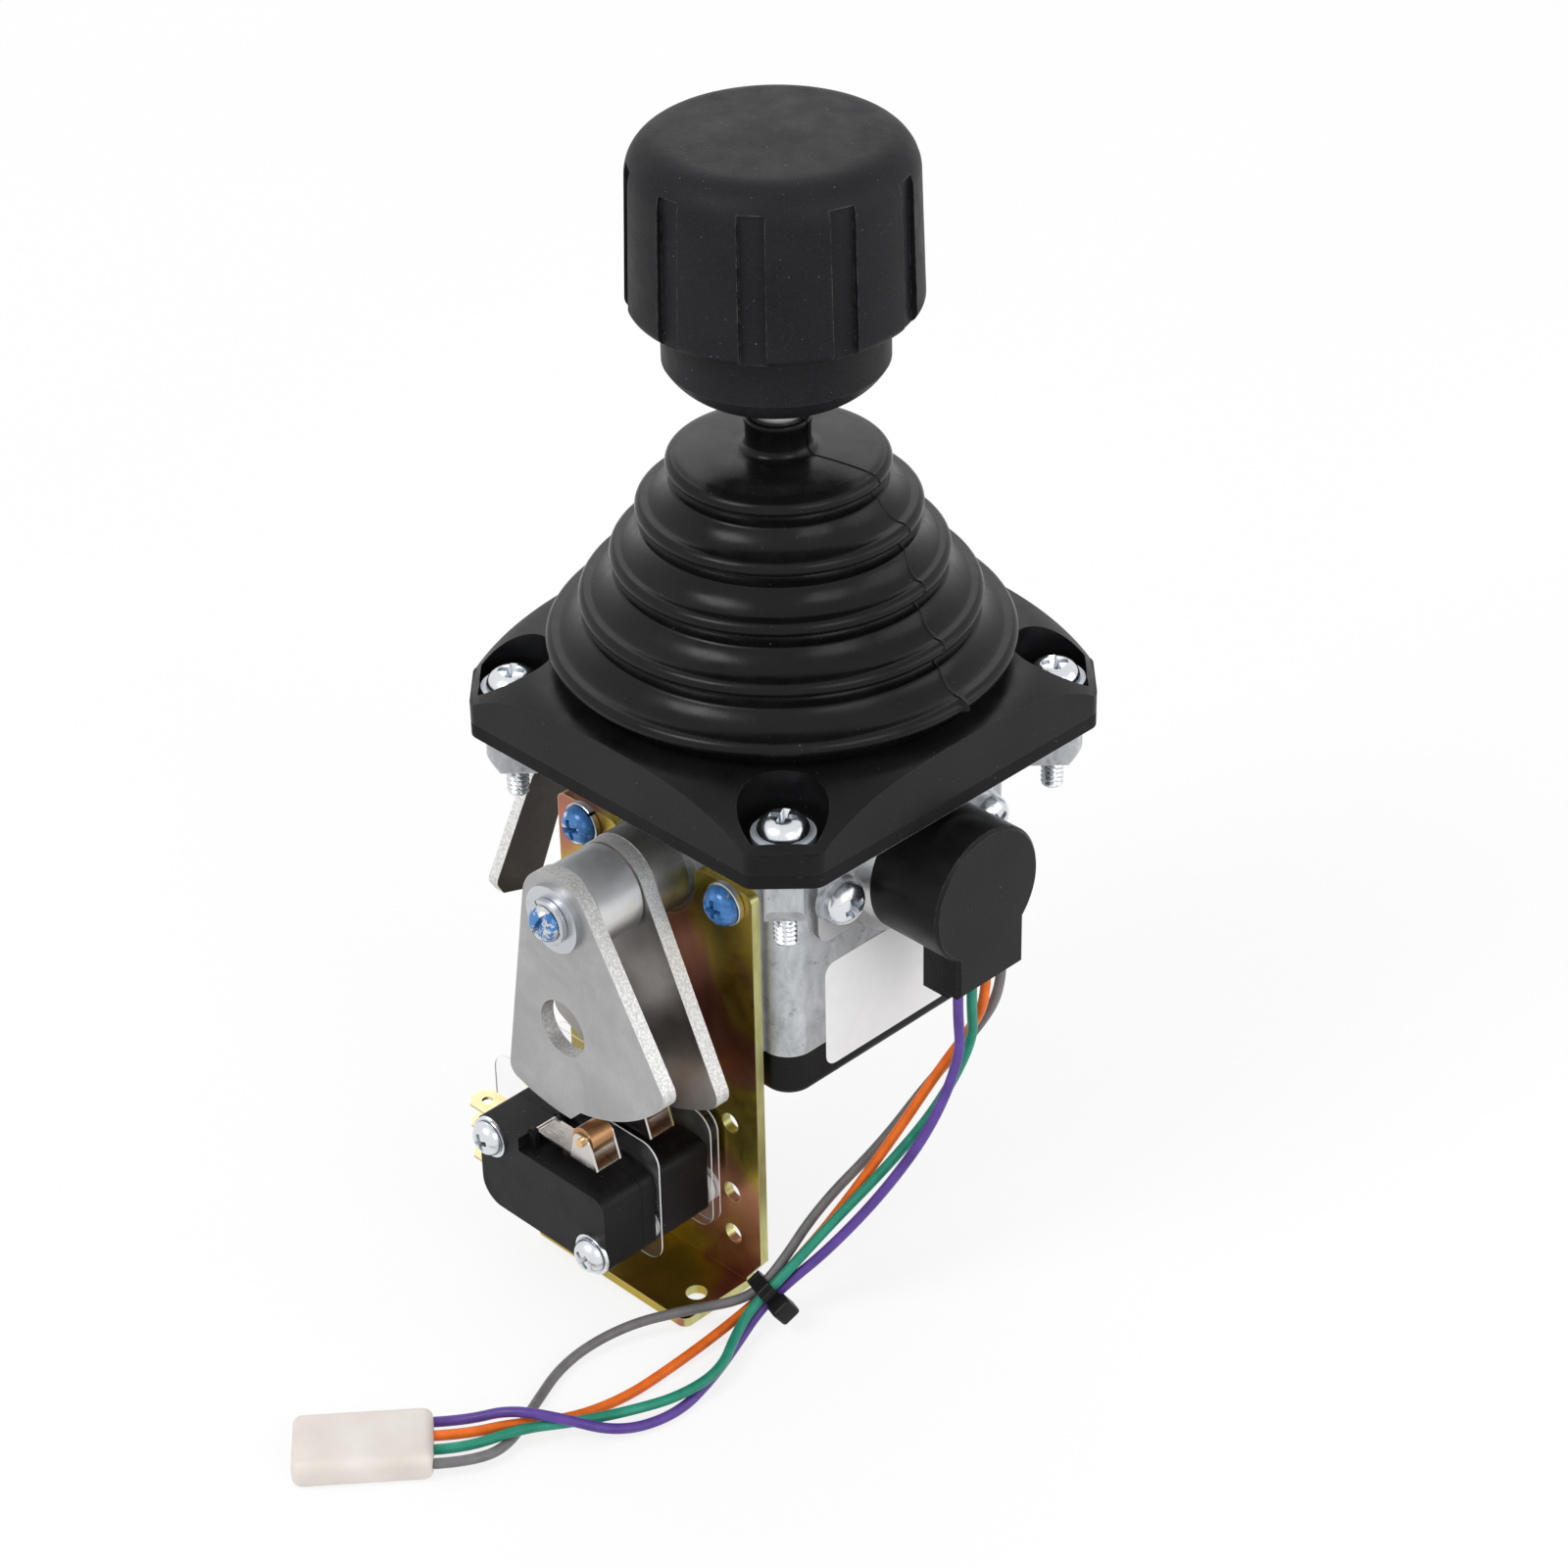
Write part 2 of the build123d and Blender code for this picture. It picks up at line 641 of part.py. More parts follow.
def build_cams():
    outer_left, inner_left, right = cam_rim_fillets
    outer_arcs = [cam_arc(cam_outer_heel, 44.2, cam_low, 5.0), cam_arc(cam_high, 1.1, cam_high, -20.6)]
    outer = cam_face(outer_arcs, outer_left, right, *cam_outer_shoulders)
    inner_arcs = [cam_arc(cam_high, 36.5, cam_high, 11.4), cam_arc(cam_low, 7.5, cam_inner_heel, -27.0)]
    inner = cam_face(inner_arcs, inner_left, right, *cam_inner_shoulders)
    place = Pos(0, 0, pivot_height)
    outer_cam = place * xz_slab(outer, -outer_cam_face, -outer_cam_face + cam_thickness)
    inner_cam = place * xz_slab(inner, -inner_cam_face, -inner_cam_face + cam_thickness)
    at = (0, pivot_height)
    spacer = tube("y", cam_hub_radius, shaft_radius, -outer_cam_face + cam_thickness, -inner_cam_face, at)
    spacer = chamfer(spacer.edges().filter_by(GeomType.CIRCLE).sort_by(SortBy.RADIUS)[-2:], 0.3)
    collar_end = -inner_cam_face + cam_thickness
    collar = tube("y", collar_radius, shaft_radius, collar_end, -bracket_face - collar_gap, at)
    return outer_cam, inner_cam, spacer, collar


def build_cam_fastening():
    flat_end = -outer_cam_face - cam_washer_height
    lock_end = flat_end - cam_lock_height
    flat = tube("y", cam_washer_radius, shaft_radius / 2, flat_end, -outer_cam_face, (0, pivot_height))
    lock = tube("y", cam_lock_radius, shaft_radius / 2, lock_end, flat_end, (0, pivot_height))
    head = Pos(0, lock_end, pivot_height) * Rot(90, 0, 0) * pan_head(cam_bolt_radius, cam_bolt_height)
    shank = along("y", shaft_radius / 2, lock_end - 0.5, -outer_cam_face, (0, pivot_height))
    return flat, lock, head + shank


def build_bracket():
    width = bracket_right - bracket_left
    centre = (bracket_left + bracket_right) / 2
    height = bracket_top - bracket_bottom
    plate = Pos(centre, -bracket_seat - bracket_thickness / 2, bracket_bottom + height / 2)
    plate = plate * Box(width, bracket_thickness, height)
    flank = bracket_right - bracket_foot_half + bracket_thickness + 3.0
    for side, edge in ((1, bracket_right), (-1, bracket_left)):
        foot_edge = side * bracket_foot_half
        points = [(edge + side, bracket_bottom - 1), (foot_edge, bracket_bottom - 1),
                  (foot_edge, bracket_bottom + bracket_thickness + 0.6),
                  (edge + side, bracket_bottom + flank)]
        plate -= xz_slab(make_face(Polyline(*points, close=True)), -bracket_face - 1, -bracket_seat + 1)
    foot = Pos(0, -bracket_seat - bracket_foot / 2, bracket_bottom + bracket_thickness / 2)
    foot = foot * Box(2 * bracket_foot_half, bracket_foot, bracket_thickness)
    foot = fillet(foot.edges().filter_by(Axis.Z).group_by(Axis.Y)[0], 1.5)
    bracket = plate + foot
    heel = bracket.edges().filter_by(Axis.X).group_by(Axis.Z)[0].sort_by(Axis.Y)[-1]
    bracket = fillet(heel, bracket_bend)
    notch = along("y", bracket_notch_radius, -bracket_face - 1, -bracket_seat + 1, (0, pivot_height))
    opening = Pos(0, -bracket_seat, pivot_height + 10) * Box(2 * bracket_notch_radius, 10, 20)
    bracket -= notch
    bracket -= opening
    top_edges = bracket.edges().filter_by(Axis.Y).group_by(Axis.Z)[-1]
    bracket = fillet(top_edges, 1.5)
    for x, z in bracket_holes:
        bracket -= along("y", bracket_hole_radius, -bracket_face - 1, -bracket_seat + 1, (x, z))
    for x in (-bracket_screw_x, bracket_screw_x):
        at = (x, pivot_height)
        bracket -= along("y", bracket_screw_radius + 0.1, -bracket_face - 1, -bracket_seat + 1, at)
    for x, z in (switch_hole_a, switch_hole_b):
        bracket -= along("y", switch_hole_radius, -bracket_face - 1, -bracket_seat + 1, (x, z))
    foot_hole_y = -bracket_seat - bracket_foot * 0.6
    for x in (-bracket_foot_half + 3.6, bracket_foot_half - 3.6):
        bracket -= along("z", bracket_hole_radius, bracket_bottom - 1, bracket_bottom + 3, (x, foot_hole_y))
    return bracket


def build_bracket_fasteners():
    locks = []
    screws = []
    lock_end = -bracket_face - bracket_lock_height
    for x in (-bracket_screw_x, bracket_screw_x):
        at = (x, pivot_height)
        locks.append(tube("y", bracket_lock_radius, bracket_screw_radius, lock_end, -bracket_face, at))
        head = pan_head(bracket_screw_head, bracket_screw_head_height)
        head = Pos(x, lock_end, pivot_height) * Rot(90, 0, 0) * head
        shank = along("y", bracket_screw_radius, lock_end - 0.5, -wall_face - 0.6, at)
        screws.append(head + shank)
    return Compound(locks), Compound(screws)


def build_switch(centre_y):
    """Case, plunger, leaf with roller fork, roller, roller pin and terminals of one switch."""
    front = centre_y - switch_width / 2
    back = centre_y + switch_width / 2
    step_left = lever_hinge[0] - 0.7
    step_floor = switch_top - switch_step
    outline = make_face(Polyline((switch_left, switch_top), (step_left, switch_top), (step_left, step_floor),
                                 (switch_right, step_floor), (switch_right, switch_bottom),
                                 (switch_left, switch_bottom), close=True))
    round_by = {(switch_left, switch_bottom): 4.0, (switch_right, step_floor): 2.2,
                (switch_right, switch_bottom): 1.2, (switch_left, switch_top): 1.0}
    for place, radius in round_by.items():
        target = Vector(place[0], place[1], 0)
        vertex = min(outline.vertices(), key=lambda v: (Vector(v) - target).length)
        outline = fillet(vertex, radius)
    case = xz_slab(outline, front, back)
    for x, z in (switch_hole_a, switch_hole_b):
        case -= along("y", switch_hole_radius, front - 1, back + 1, (x, z))
    ear_left = step_left
    ear_right = lever_hinge[0] + 0.9
    ear = make_face(Polyline((ear_left, step_floor - 0.5), (ear_right, step_floor - 0.5),
                             (ear_right, lever_hinge[1] + 0.8), (ear_left, lever_hinge[1] + 0.8), close=True))
    ear = fillet(ear.vertices().group_by(Axis.Y)[-1], 0.6)
    ear -= Pos(*lever_hinge) * Circle(hinge_radius + running_clearance)
    for side in (-1, 1):
        near = side * (leaf_width / 2 + ear_gap)
        far = near + side * ear_thickness
        case += xz_slab(ear, centre_y + min(near, far), centre_y + max(near, far))
    plunger_top = lever_hinge[1] - leaf_thickness / 2 - plunger_gap
    bore = plunger_radius + running_clearance
    case -= along("z", bore, step_floor - 2.5, switch_top + 1, (plunger_x, centre_y))
    plunger = along("z", plunger_radius, step_floor - 1.2, plunger_top, (plunger_x, centre_y))
    leaf_left = lever_hinge[0] - hinge_radius
    leaf = Pos((leaf_left + leaf_right) / 2, centre_y, lever_hinge[1])
    leaf = leaf * Box(leaf_right - leaf_left, leaf_width, leaf_thickness)
    hinge_half = leaf_width / 2 + ear_gap + ear_thickness
    leaf += along("y", hinge_radius, centre_y - hinge_half, centre_y + hinge_half, lever_hinge)
    fork_half = roller_width / 2 + 0.1
    fork_edges = leaf_thickness / 2
    fork = make_face(Polyline((roller_centre[0] - 2.6, lever_hinge[1] - fork_edges),
                              (roller_centre[0] - 1.5, roller_centre[1] + 1.2),
                              (roller_centre[0] + 1.5, roller_centre[1] + 1.2),
                              (leaf_right, lever_hinge[1] - fork_edges), close=True))
    tips = fork.vertices().group_by(Axis.Y)[-1]
    fork = fillet(tips, 1.2)
    for side in (-1, 1):
        inner = side * fork_half
        outer = side * (fork_half + leaf_thickness)
        leaf += xz_slab(fork, centre_y + min(inner, outer), centre_y + max(inner, outer))
    base = Pos(roller_centre[0] + 0.4, centre_y, lever_hinge[1])
    leaf += base * Box(5.2, 2 * fork_half + leaf_thickness, leaf_thickness)
    pin_half = fork_half + leaf_thickness + 0.5
    leaf -= along("y", roller_pin_radius, centre_y - 6, centre_y + 6, roller_centre)
    pin = along("y", roller_pin_radius, centre_y - pin_half, centre_y + pin_half, roller_centre)
    bore = roller_pin_radius + running_clearance
    roller_half = roller_width / 2
    roller = tube("y", roller_radius, bore, centre_y - roller_half, centre_y + roller_half, roller_centre)
    terminals = []
    for z in terminal_heights:
        length = terminal_length
        tab = Pos(switch_left - length / 2, centre_y, z) * Box(length, terminal_width, terminal_thickness)
        tab = chamfer(tab.edges().filter_by(Axis.Z).group_by(Axis.X)[0], 1.3)
        tab -= along("z", 0.9, z - 1, z + 1, (switch_left - length * 0.6, centre_y))
        terminals.append(tab)
    return case, plunger, leaf, pin, roller, Compound(terminals)


def build_sheets():
    sheets = []
    rear_back = rear_switch_y + switch_width / 2
    between = (front_switch_y + rear_switch_y) / 2
    width = sheet_right - sheet_left
    height = sheet_top - sheet_bottom
    centre = (sheet_left + width / 2, sheet_bottom + height / 2)
    outline = Pos(centre[0], centre[1]) * RectangleRounded(width, height, 3.5)
    for x, z in (switch_hole_a, switch_hole_b):
        outline -= Pos(x, z) * Circle(switch_hole_radius)
    second = -bracket_face - 0.85
    stations = (between - sheet_thickness / 2, rear_back, second - sheet_thickness / 2)
    for start in stations:
        sheets.append(xz_slab(outline, start, start + sheet_thickness))
    spacers = []
    gaps = ((between + sheet_thickness / 2, between + switch_gap / 2),
            (between - switch_gap / 2, between - sheet_thickness / 2),
            (rear_back + sheet_thickness, second - sheet_thickness / 2),
            (second + sheet_thickness / 2, -bracket_face))
    for x, z in (switch_hole_a, switch_hole_b):
        for start, end in gaps:
            spacers.append(tube("y", 2.9, switch_hole_radius, start, end, (x, z)))
    return sheets, Compound(spacers)


def build_switch_fasteners():
    front_face = front_switch_y - switch_width / 2
    seat = front_face - switch_washer_height
    washers = []
    screws = []
    nuts = []
    for x, z in (switch_hole_a, switch_hole_b):
        washers.append(tube("y", switch_washer_radius, switch_screw_radius + 0.05, seat, front_face, (x, z)))
        head = Pos(x, seat, z) * Rot(90, 0, 0) * pan_head(switch_screw_head, switch_screw_head_height)
        end = -bracket_seat + switch_nut_height + switch_screw_end
        screws.append(head + along("y", switch_screw_radius, seat - 0.5, end, (x, z)))
        hexagon = Pos(x, z) * RegularPolygon(switch_nut_radius, 6)
        nut = hexagon - Pos(x, z) * Circle(switch_screw_radius)
        nut = xz_slab(nut, -bracket_seat, -bracket_seat + switch_nut_height)
        nuts.append(nut)
    return Compound(washers), Compound(screws), Compound(nuts)


def build_pot():
    plate_start = half_body
    plate_end = half_body + pot_plate_thickness
    outline = RectangleRounded(2 * pot_plate_half_y, 2 * pot_plate_half_z, 2.5) + Circle(pot_plate_round)
    outline &= Pos(0, pot_plate_top - pivot_height - 20) * Rectangle(4 * pot_plate_round, 40)
    outline -= Circle(shaft_radius + 1.5)
    for y in (-pot_screw_y, pot_screw_y):
        outline -= Pos(y, 0) * Rot(0, 0, 90) * SlotOverall(6.4, 2 * bracket_screw_radius)
    plate = Pos(0, 0, pivot_height) * yz_slab(outline, plate_start, plate_end)
    ring_end = plate_end + pot_ring_length
    bore = shaft_radius + running_clearance
    ring = tube("x", pot_ring_radius, bore, plate_end, ring_end, (0, pivot_height))
    body = along("x", pot_radius, ring_end, pot_end, (0, pivot_height))
    cover_back = pot_end - pot_cover_length
    for low_y, bottom, start, end in ((pot_block_low_y, pivot_height - pot_skirt_drop,
                                       pot_end - pot_block_length, cover_back),
                                      (pot_cover_low_y, pot_block_bottom, cover_back, pot_end)):
        block = make_face(Polyline((low_y, pivot_height), (low_y, bottom), (pot_block_high_y, bottom),
                                   (pot_block_high_y, pivot_height), close=True))
        body += yz_slab(block, start, end)
    body = chamfer(body.faces().sort_by(Axis.X)[-1].edges(), 0.5)
    body -= along("x", bore, ring_end - 1, pot_end - 3.5, (0, pivot_height))
    return plate, ring, body


def build_pot_fasteners():
    seat = half_body + pot_plate_thickness
    flat_end = seat + pot_washer_height
    lock_end = flat_end + pot_lock_height
    washers = []
    screws = []
    for y in (-pot_screw_y, pot_screw_y):
        at = (y, pivot_height)
        flat = tube("x", pot_washer_radius, bracket_screw_radius + 0.1, seat, flat_end, at)
        washers.append(flat + tube("x", pot_lock_radius, bracket_screw_radius + 0.1, flat_end, lock_end, at))
        head = pan_head(pot_screw_head, pot_screw_head_height)
        head = Pos(lock_end, y, pivot_height) * Rot(0, 90, 0) * head
        shank = along("x", bracket_screw_radius, wall_face + 0.6, lock_end + 0.5, at)
        screws.append(head + shank)
    return Compound(washers), Compound(screws)


def build_arm():
    back = arm_face - arm_thickness
    outline = make_face(Polyline(*arm_outline, close=True))
    ends = outline.vertices().group_by(Axis.X)[0]
    outline = fillet(ends, 1.6)
    outline += Circle(arm_hub_radius)
    outline -= Circle(shaft_radius)
    arm = Pos(0, 0, pivot_height) * yz_slab(outline, back, arm_face)
    spacer_end = arm_face + arm_spacer_length
    spacer = tube("x", arm_spacer_radius, shaft_radius, arm_face, spacer_end, (0, pivot_height))
    at = (0, pivot_height)
    washer = tube("x", cam_lock_radius + 0.9, shaft_radius / 2, back - cam_washer_height, back, at)
    head = Pos(back - cam_washer_height, 0, pivot_height) * Rot(0, -90, 0)
    bolt = head * pan_head(cam_bolt_radius, cam_bolt_height)
    bolt += along("x", shaft_radius / 2, back - cam_washer_height - 0.5, back, (0, pivot_height))
    return arm, spacer, washer, bolt


side_axis = Vector(tie_axis.Y, -tie_axis.X, 0).normalized() * -1
up_axis = side_axis.cross(tie_axis) * -1
entry_axis = Vector(connector_axis.Y, -connector_axis.X, 0)


def at_tie(side, up, step):
    return tie_centre + side_axis * (side * bundle_half) + up_axis * (up * bundle_half) + tie_axis * step


def entry(slot, step=0.0):
    return connector_end + entry_axis * (slot * connector_pitch) + connector_axis * step


def route(upper, side, up, lower, slot):
    points = [Vector(*p) for p in upper]
    points += [at_tie(side, up, -3.0), at_tie(side, up, 3.0)]
    points += [Vector(*p) for p in lower]
    points += [entry(slot, 5.0), entry(slot)]
    return points


block_end = pot_block_bottom
wire_routes = {
    "wire_purple": route([(39.2, -3.6, block_end), (39.2, -3.6, -34.5), (39.4, -3.0, -42.0),
                          (38.4, -8.2, -53.0), (35.0, -15.0, -63.4), (30.2, -22.3, -73.1)], 1, -1,
                         [(25.7, -37.7, -84.8), (28.4, -45.6, -85.1), (30.4, -55.0, -85.15),
                          (27.6, -64.0, -84.6), (21.5, -70.6, -81.1), (15.1, -74.5, -81.0)], -1.5),
    "wire_green": route([(39.2, -0.6, block_end), (39.2, -0.6, -34.5), (38.6, 0.6, -41.5),
                         (37.0, -5.4, -51.6), (33.1, -12.6, -61.2), (29.0, -21.0, -69.9)], 1, 1,
                        [(25.7, -38.1, -82.9), (29.6, -45.0, -83.3), (29.4, -53.4, -83.2),
                         (26.4, -60.6, -83.2), (22.3, -67.6, -83.4), (18.0, -75.1, -82.5)], 0.5),
    "wire_orange": route([(39.2, 2.5, block_end), (39.2, 2.5, -34.3), (37.2, 2.4, -40.0),
                          (34.6, -3.0, -47.6), (32.2, -9.6, -57.0), (28.1, -19.4, -70.4)], -1, -1,
                         [(22.2, -39.4, -84.6), (22.2, -48.4, -85.1), (22.2, -57.8, -85.1),
                          (20.0, -67.0, -84.7), (16.2, -75.1, -82.7)], -0.5),
    "wire_grey": route([(39.2, 5.9, block_end), (39.2, 5.9, -34.7), (36.0, 4.8, -42.4),
                        (32.0, -2.6, -51.6), (29.2, -9.6, -60.4), (25.3, -19.5, -69.2)], -1, 1,
                       [(17.5, -39.7, -81.8), (11.6, -48.0, -83.3), (9.6, -58.6, -84.9),
                        (13.8, -69.1, -85.15), (18.2, -78.0, -84.4)], 1.5),
}


def build_wire(points):
    """Round wire along straight runs joined by tangent arcs as large as the runs allow."""
    radii = []
    for before, here, after in zip(points, points[1:], points[2:]):
        run = min((here - before).length, (after - here).length)
        turn = math.radians((here - before).get_angle(after - here))
        radii.append(0.45 * run / math.tan(turn / 2))
    path = FilletPolyline(*points, radius=radii)
    start = Plane(origin=points[0], z_dir=points[1] - points[0])
    wire = sweep(start * Circle(wire_radius), path=path)
    length = sum(edge.length for edge in path.edges())
    return wire, radii, length


def build_tie():
    inner = 2 * (bundle_half + wire_radius) + 0.1
    outer = inner + 2 * tie_wall
    plane = Plane(origin=tie_centre, x_dir=side_axis, z_dir=tie_axis)
    band = RectangleRounded(outer, outer, 1.8) - RectangleRounded(inner, inner, 0.9)
    tie = extrude(plane * band, tie_width / 2, both=True)
    head_face = plane * Pos(outer / 2 + 1.0, -outer / 2 + 1.2) * RectangleRounded(3.4, 4.0, 0.6)
    tie += extrude(head_face, tie_width / 2 + 0.7, both=True)
    hollow = extrude(plane * RectangleRounded(inner, inner, 0.9), tie_width, both=True)
    return tie - hollow


def build_connector():
    centre = connector_end - connector_axis * (connector_length / 2)
    plane = Plane(origin=centre, x_dir=connector_axis, z_dir=(0, 0, 1))
    shell = Box(connector_length, connector_width, connector_height)
    shell = fillet(shell.edges().filter_by(Axis.X), connector_round)
    shell = chamfer(shell.faces().sort_by(Axis.X)[0].edges(), connector_chamfer)
    return plane * shell


save(build_cover(), "cover")
save(build_gasket(), "gasket")
corner_washers, corner_screws = build_corner_fasteners()
save(corner_washers, "corner_washers")
save(corner_screws, "corner_screws")
save(build_boot(), "boot")
save(build_knob(), "knob")
save(build_lever(), "lever")
save(build_casting(), "casting")
bottom_cap, foot_plate = build_bottom_cap()
save(bottom_cap, "bottom_cap")
save(foot_plate, "foot_plate")
yoke_ring, cross_pin = build_yoke()
save(yoke_ring, "yoke")
save(cross_pin, "cross_pin")
shaft_front, shaft_rear = build_y_shafts()
save(shaft_front, "shaft_front")
save(shaft_rear, "shaft_rear")
slotted_bail, shaft_pot, shaft_arm = build_bail()
save(slotted_bail, "bail")
save(build_springs(), "centring_springs")
save(shaft_pot, "shaft_pot")
save(shaft_arm, "shaft_arm")
cam_outer, cam_inner, cam_spacer, cam_collar = build_cams()
save(cam_outer, "cam_outer")
save(cam_inner, "cam_inner")
save(cam_spacer, "cam_spacer")
save(cam_collar, "cam_collar")
cam_washer, cam_lock_washer, cam_bolt = build_cam_fastening()
save(cam_washer, "cam_washer")
save(cam_lock_washer, "cam_lock_washer")
save(cam_bolt, "cam_bolt")
save(build_bracket(), "bracket")
bracket_locks, bracket_screws = build_bracket_fasteners()
save(bracket_locks, "bracket_lock_washers")
save(bracket_screws, "bracket_screws")
for label, switch_y in (("front", front_switch_y), ("rear", rear_switch_y)):
    switch_case, switch_plunger, switch_leaf, roller_pin, roller, blades = build_switch(switch_y)
    save(switch_case, "switch_case_" + label)
    save(switch_plunger, "plunger_" + label)
    save(switch_leaf, "leaf_" + label)
    save(roller_pin, "roller_pin_" + label)
    save(roller, "roller_" + label)
    save(blades, "terminals_" + label)
insulators, switch_spacers = build_sheets()
save(Compound(insulators), "insulators")
save(switch_spacers, "switch_spacers")
switch_washers, switch_screws, switch_nuts = build_switch_fasteners()
save(switch_washers, "switch_washers")
save(switch_screws, "switch_screws")
save(switch_nuts, "switch_nuts")
pot_plate, pot_ring, pot_body = build_pot()
save(pot_plate, "pot_plate")
save(pot_ring, "pot_ring")
save(pot_body, "pot_body")
pot_washers, pot_screws = build_pot_fasteners()
save(pot_washers, "pot_washers")
save(pot_screws, "pot_screws")
crank_arm, arm_spacer, arm_washer, arm_bolt = build_arm()
save(crank_arm, "crank_arm")
save(arm_spacer, "arm_spacer")
save(arm_washer, "arm_washer")
save(arm_bolt, "arm_bolt")
for name, wire_points in wire_routes.items():
    wire, bend_radii, wire_length = build_wire(wire_points)
    save(wire, name)
    print(name, "length", round(wire_length, 1), "volume ratio",
          round(wire.volume / (math.pi * wire_radius ** 2 * wire_length), 4),
          "radii", [round(r, 1) for r in bend_radii])
save(build_tie(), "cable_tie")
save(build_connector(), "connector")
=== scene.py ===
import bpy
import bmesh
from math import atan2, copysign, cos, dist, exp, hypot, pi, radians, sin
from mathutils import Matrix, Vector


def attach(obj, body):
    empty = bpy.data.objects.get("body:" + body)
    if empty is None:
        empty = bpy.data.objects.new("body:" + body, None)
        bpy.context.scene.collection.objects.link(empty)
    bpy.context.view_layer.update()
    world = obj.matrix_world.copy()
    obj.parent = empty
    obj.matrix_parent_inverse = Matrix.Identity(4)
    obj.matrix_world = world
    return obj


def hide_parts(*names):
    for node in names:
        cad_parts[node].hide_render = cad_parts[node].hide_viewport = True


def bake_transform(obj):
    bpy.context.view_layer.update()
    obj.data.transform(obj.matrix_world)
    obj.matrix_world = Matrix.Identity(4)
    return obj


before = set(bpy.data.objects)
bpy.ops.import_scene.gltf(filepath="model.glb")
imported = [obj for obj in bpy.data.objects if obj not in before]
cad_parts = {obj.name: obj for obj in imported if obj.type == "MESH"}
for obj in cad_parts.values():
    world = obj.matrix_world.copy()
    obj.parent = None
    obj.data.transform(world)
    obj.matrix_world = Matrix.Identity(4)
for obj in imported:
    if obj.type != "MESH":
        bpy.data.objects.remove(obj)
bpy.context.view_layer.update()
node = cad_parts
print("frame loaded:", len(node), "nodes")


def mm(x, y, z):
    return Vector((x, y, z)) / 1000


def addObject(name, data):
    piece = bpy.data.objects.new(name, data)
    bpy.context.scene.collection.objects.link(piece)
    return piece


# camera
photoView = {"azimuth": 45.56, "elevation": 33.088, "roll": -1.167, "distance": 0.6, "lens": 91.95,
             "aimRight": -0.00017, "aimUp": -0.01068, "sensor": 36, "nearest": 0.01}


def placeCamera(v):
    az, el, roll = (radians(v[k]) for k in ("azimuth", "elevation", "roll"))
    back = Vector((sin(az) * cos(el), -cos(az) * cos(el), sin(el)))
    right = Vector((cos(az), sin(az), 0))
    up = back.cross(right)
    place = v["aimRight"] * right + v["aimUp"] * up + v["distance"] * back
    turnedRight = cos(roll) * right + sin(roll) * up
    turnedUp = -sin(roll) * right + cos(roll) * up
    data = bpy.data.cameras.new("photoCamera")
    data.sensor_width = v["sensor"]
    data.lens = v["lens"]
    data.clip_start = v["nearest"]
    data.dof.use_dof = False
    camera = addObject("photoCamera", data)
    columns = Matrix((turnedRight, turnedUp, back)).transposed().to_4x4()
    camera.matrix_world = Matrix.Translation(place) @ columns
    bpy.context.scene.camera = camera


placeCamera(photoView)
print("camera placed")


# material helpers
def startMaterial(name):
    mat = bpy.data.materials.new(name)
    mat.use_nodes = True
    tree = mat.node_tree
    tree.nodes.clear()
    out = tree.nodes.new("ShaderNodeOutputMaterial")
    shader = tree.nodes.new("ShaderNodeBsdfPrincipled")
    tree.links.new(shader.outputs["BSDF"], out.inputs["Surface"])
    coord = tree.nodes.new("ShaderNodeTexCoord").outputs["Object"]
    return mat, tree, shader, coord


def setInputs(box, values):
    for key, value in values.items():
        box.inputs[key].default_value = value


def stretched(tree, coord, scale):
    box = tree.nodes.new("ShaderNodeMapping")
    box.inputs["Scale"].default_value = scale
    tree.links.new(coord, box.inputs["Vector"])
    return box.outputs["Vector"]


def noise(tree, coord, scale, detail=4, rough=0.5, distortion=0.0):
    box = tree.nodes.new("ShaderNodeTexNoise")
    setInputs(box, {"Scale": scale, "Detail": detail, "Roughness": rough, "Distortion": distortion})
    tree.links.new(coord, box.inputs["Vector"])
    return box.outputs["Fac"]


def levels(tree, value, low, high, outLow=0.0, outHigh=1.0):
    box = tree.nodes.new("ShaderNodeMapRange")
    setInputs(box, {"From Min": low, "From Max": high, "To Min": outLow, "To Max": outHigh})
    tree.links.new(value, box.inputs["Value"])
    return box.outputs["Result"]


def patches(tree, coord, grain, low=0.3, high=0.7, outLow=0.0, outHigh=1.0):
    # noise of a (scale, detail, roughness) grain, spread between two levels
    return levels(tree, noise(tree, coord, *grain), low, high, outLow, outHigh)


def shade(colour, factor, lift=0.0):
    return tuple(min(1, c * factor + lift) for c in colour)


def blendColour(tree, factor, first, second):
    box = tree.nodes.new("ShaderNodeMix")
    box.data_type = "RGBA"
    if isinstance(factor, float):
        box.inputs[0].default_value = factor
    else:
        tree.links.new(factor, box.inputs[0])
    for socket, colour in ((box.inputs[6], first), (box.inputs[7], second)):
        if isinstance(colour, tuple):
            socket.default_value = (*colour, 1)
        else:
            tree.links.new(colour, socket)
    return box.outputs[2]


def sum2(tree, first, second, operation="ADD"):
    box = tree.nodes.new("ShaderNodeMath")
    box.operation = operation
    for socket, value in zip(box.inputs, (first, second)):
        if isinstance(value, (int, float)):
            socket.default_value = value
        else:
            tree.links.new(value, socket)
    return box.outputs[0]


def paleRays(tree):
    # 1 on the rays that see the pale background: from the camera, off metal and through clear film
    path = tree.nodes.new("ShaderNodeLightPath")
    straight = sum2(tree, path.outputs["Is Camera Ray"], path.outputs["Is Glossy Ray"], "MAXIMUM")
    return sum2(tree, straight, path.outputs["Is Transmission Ray"], "MAXIMUM")


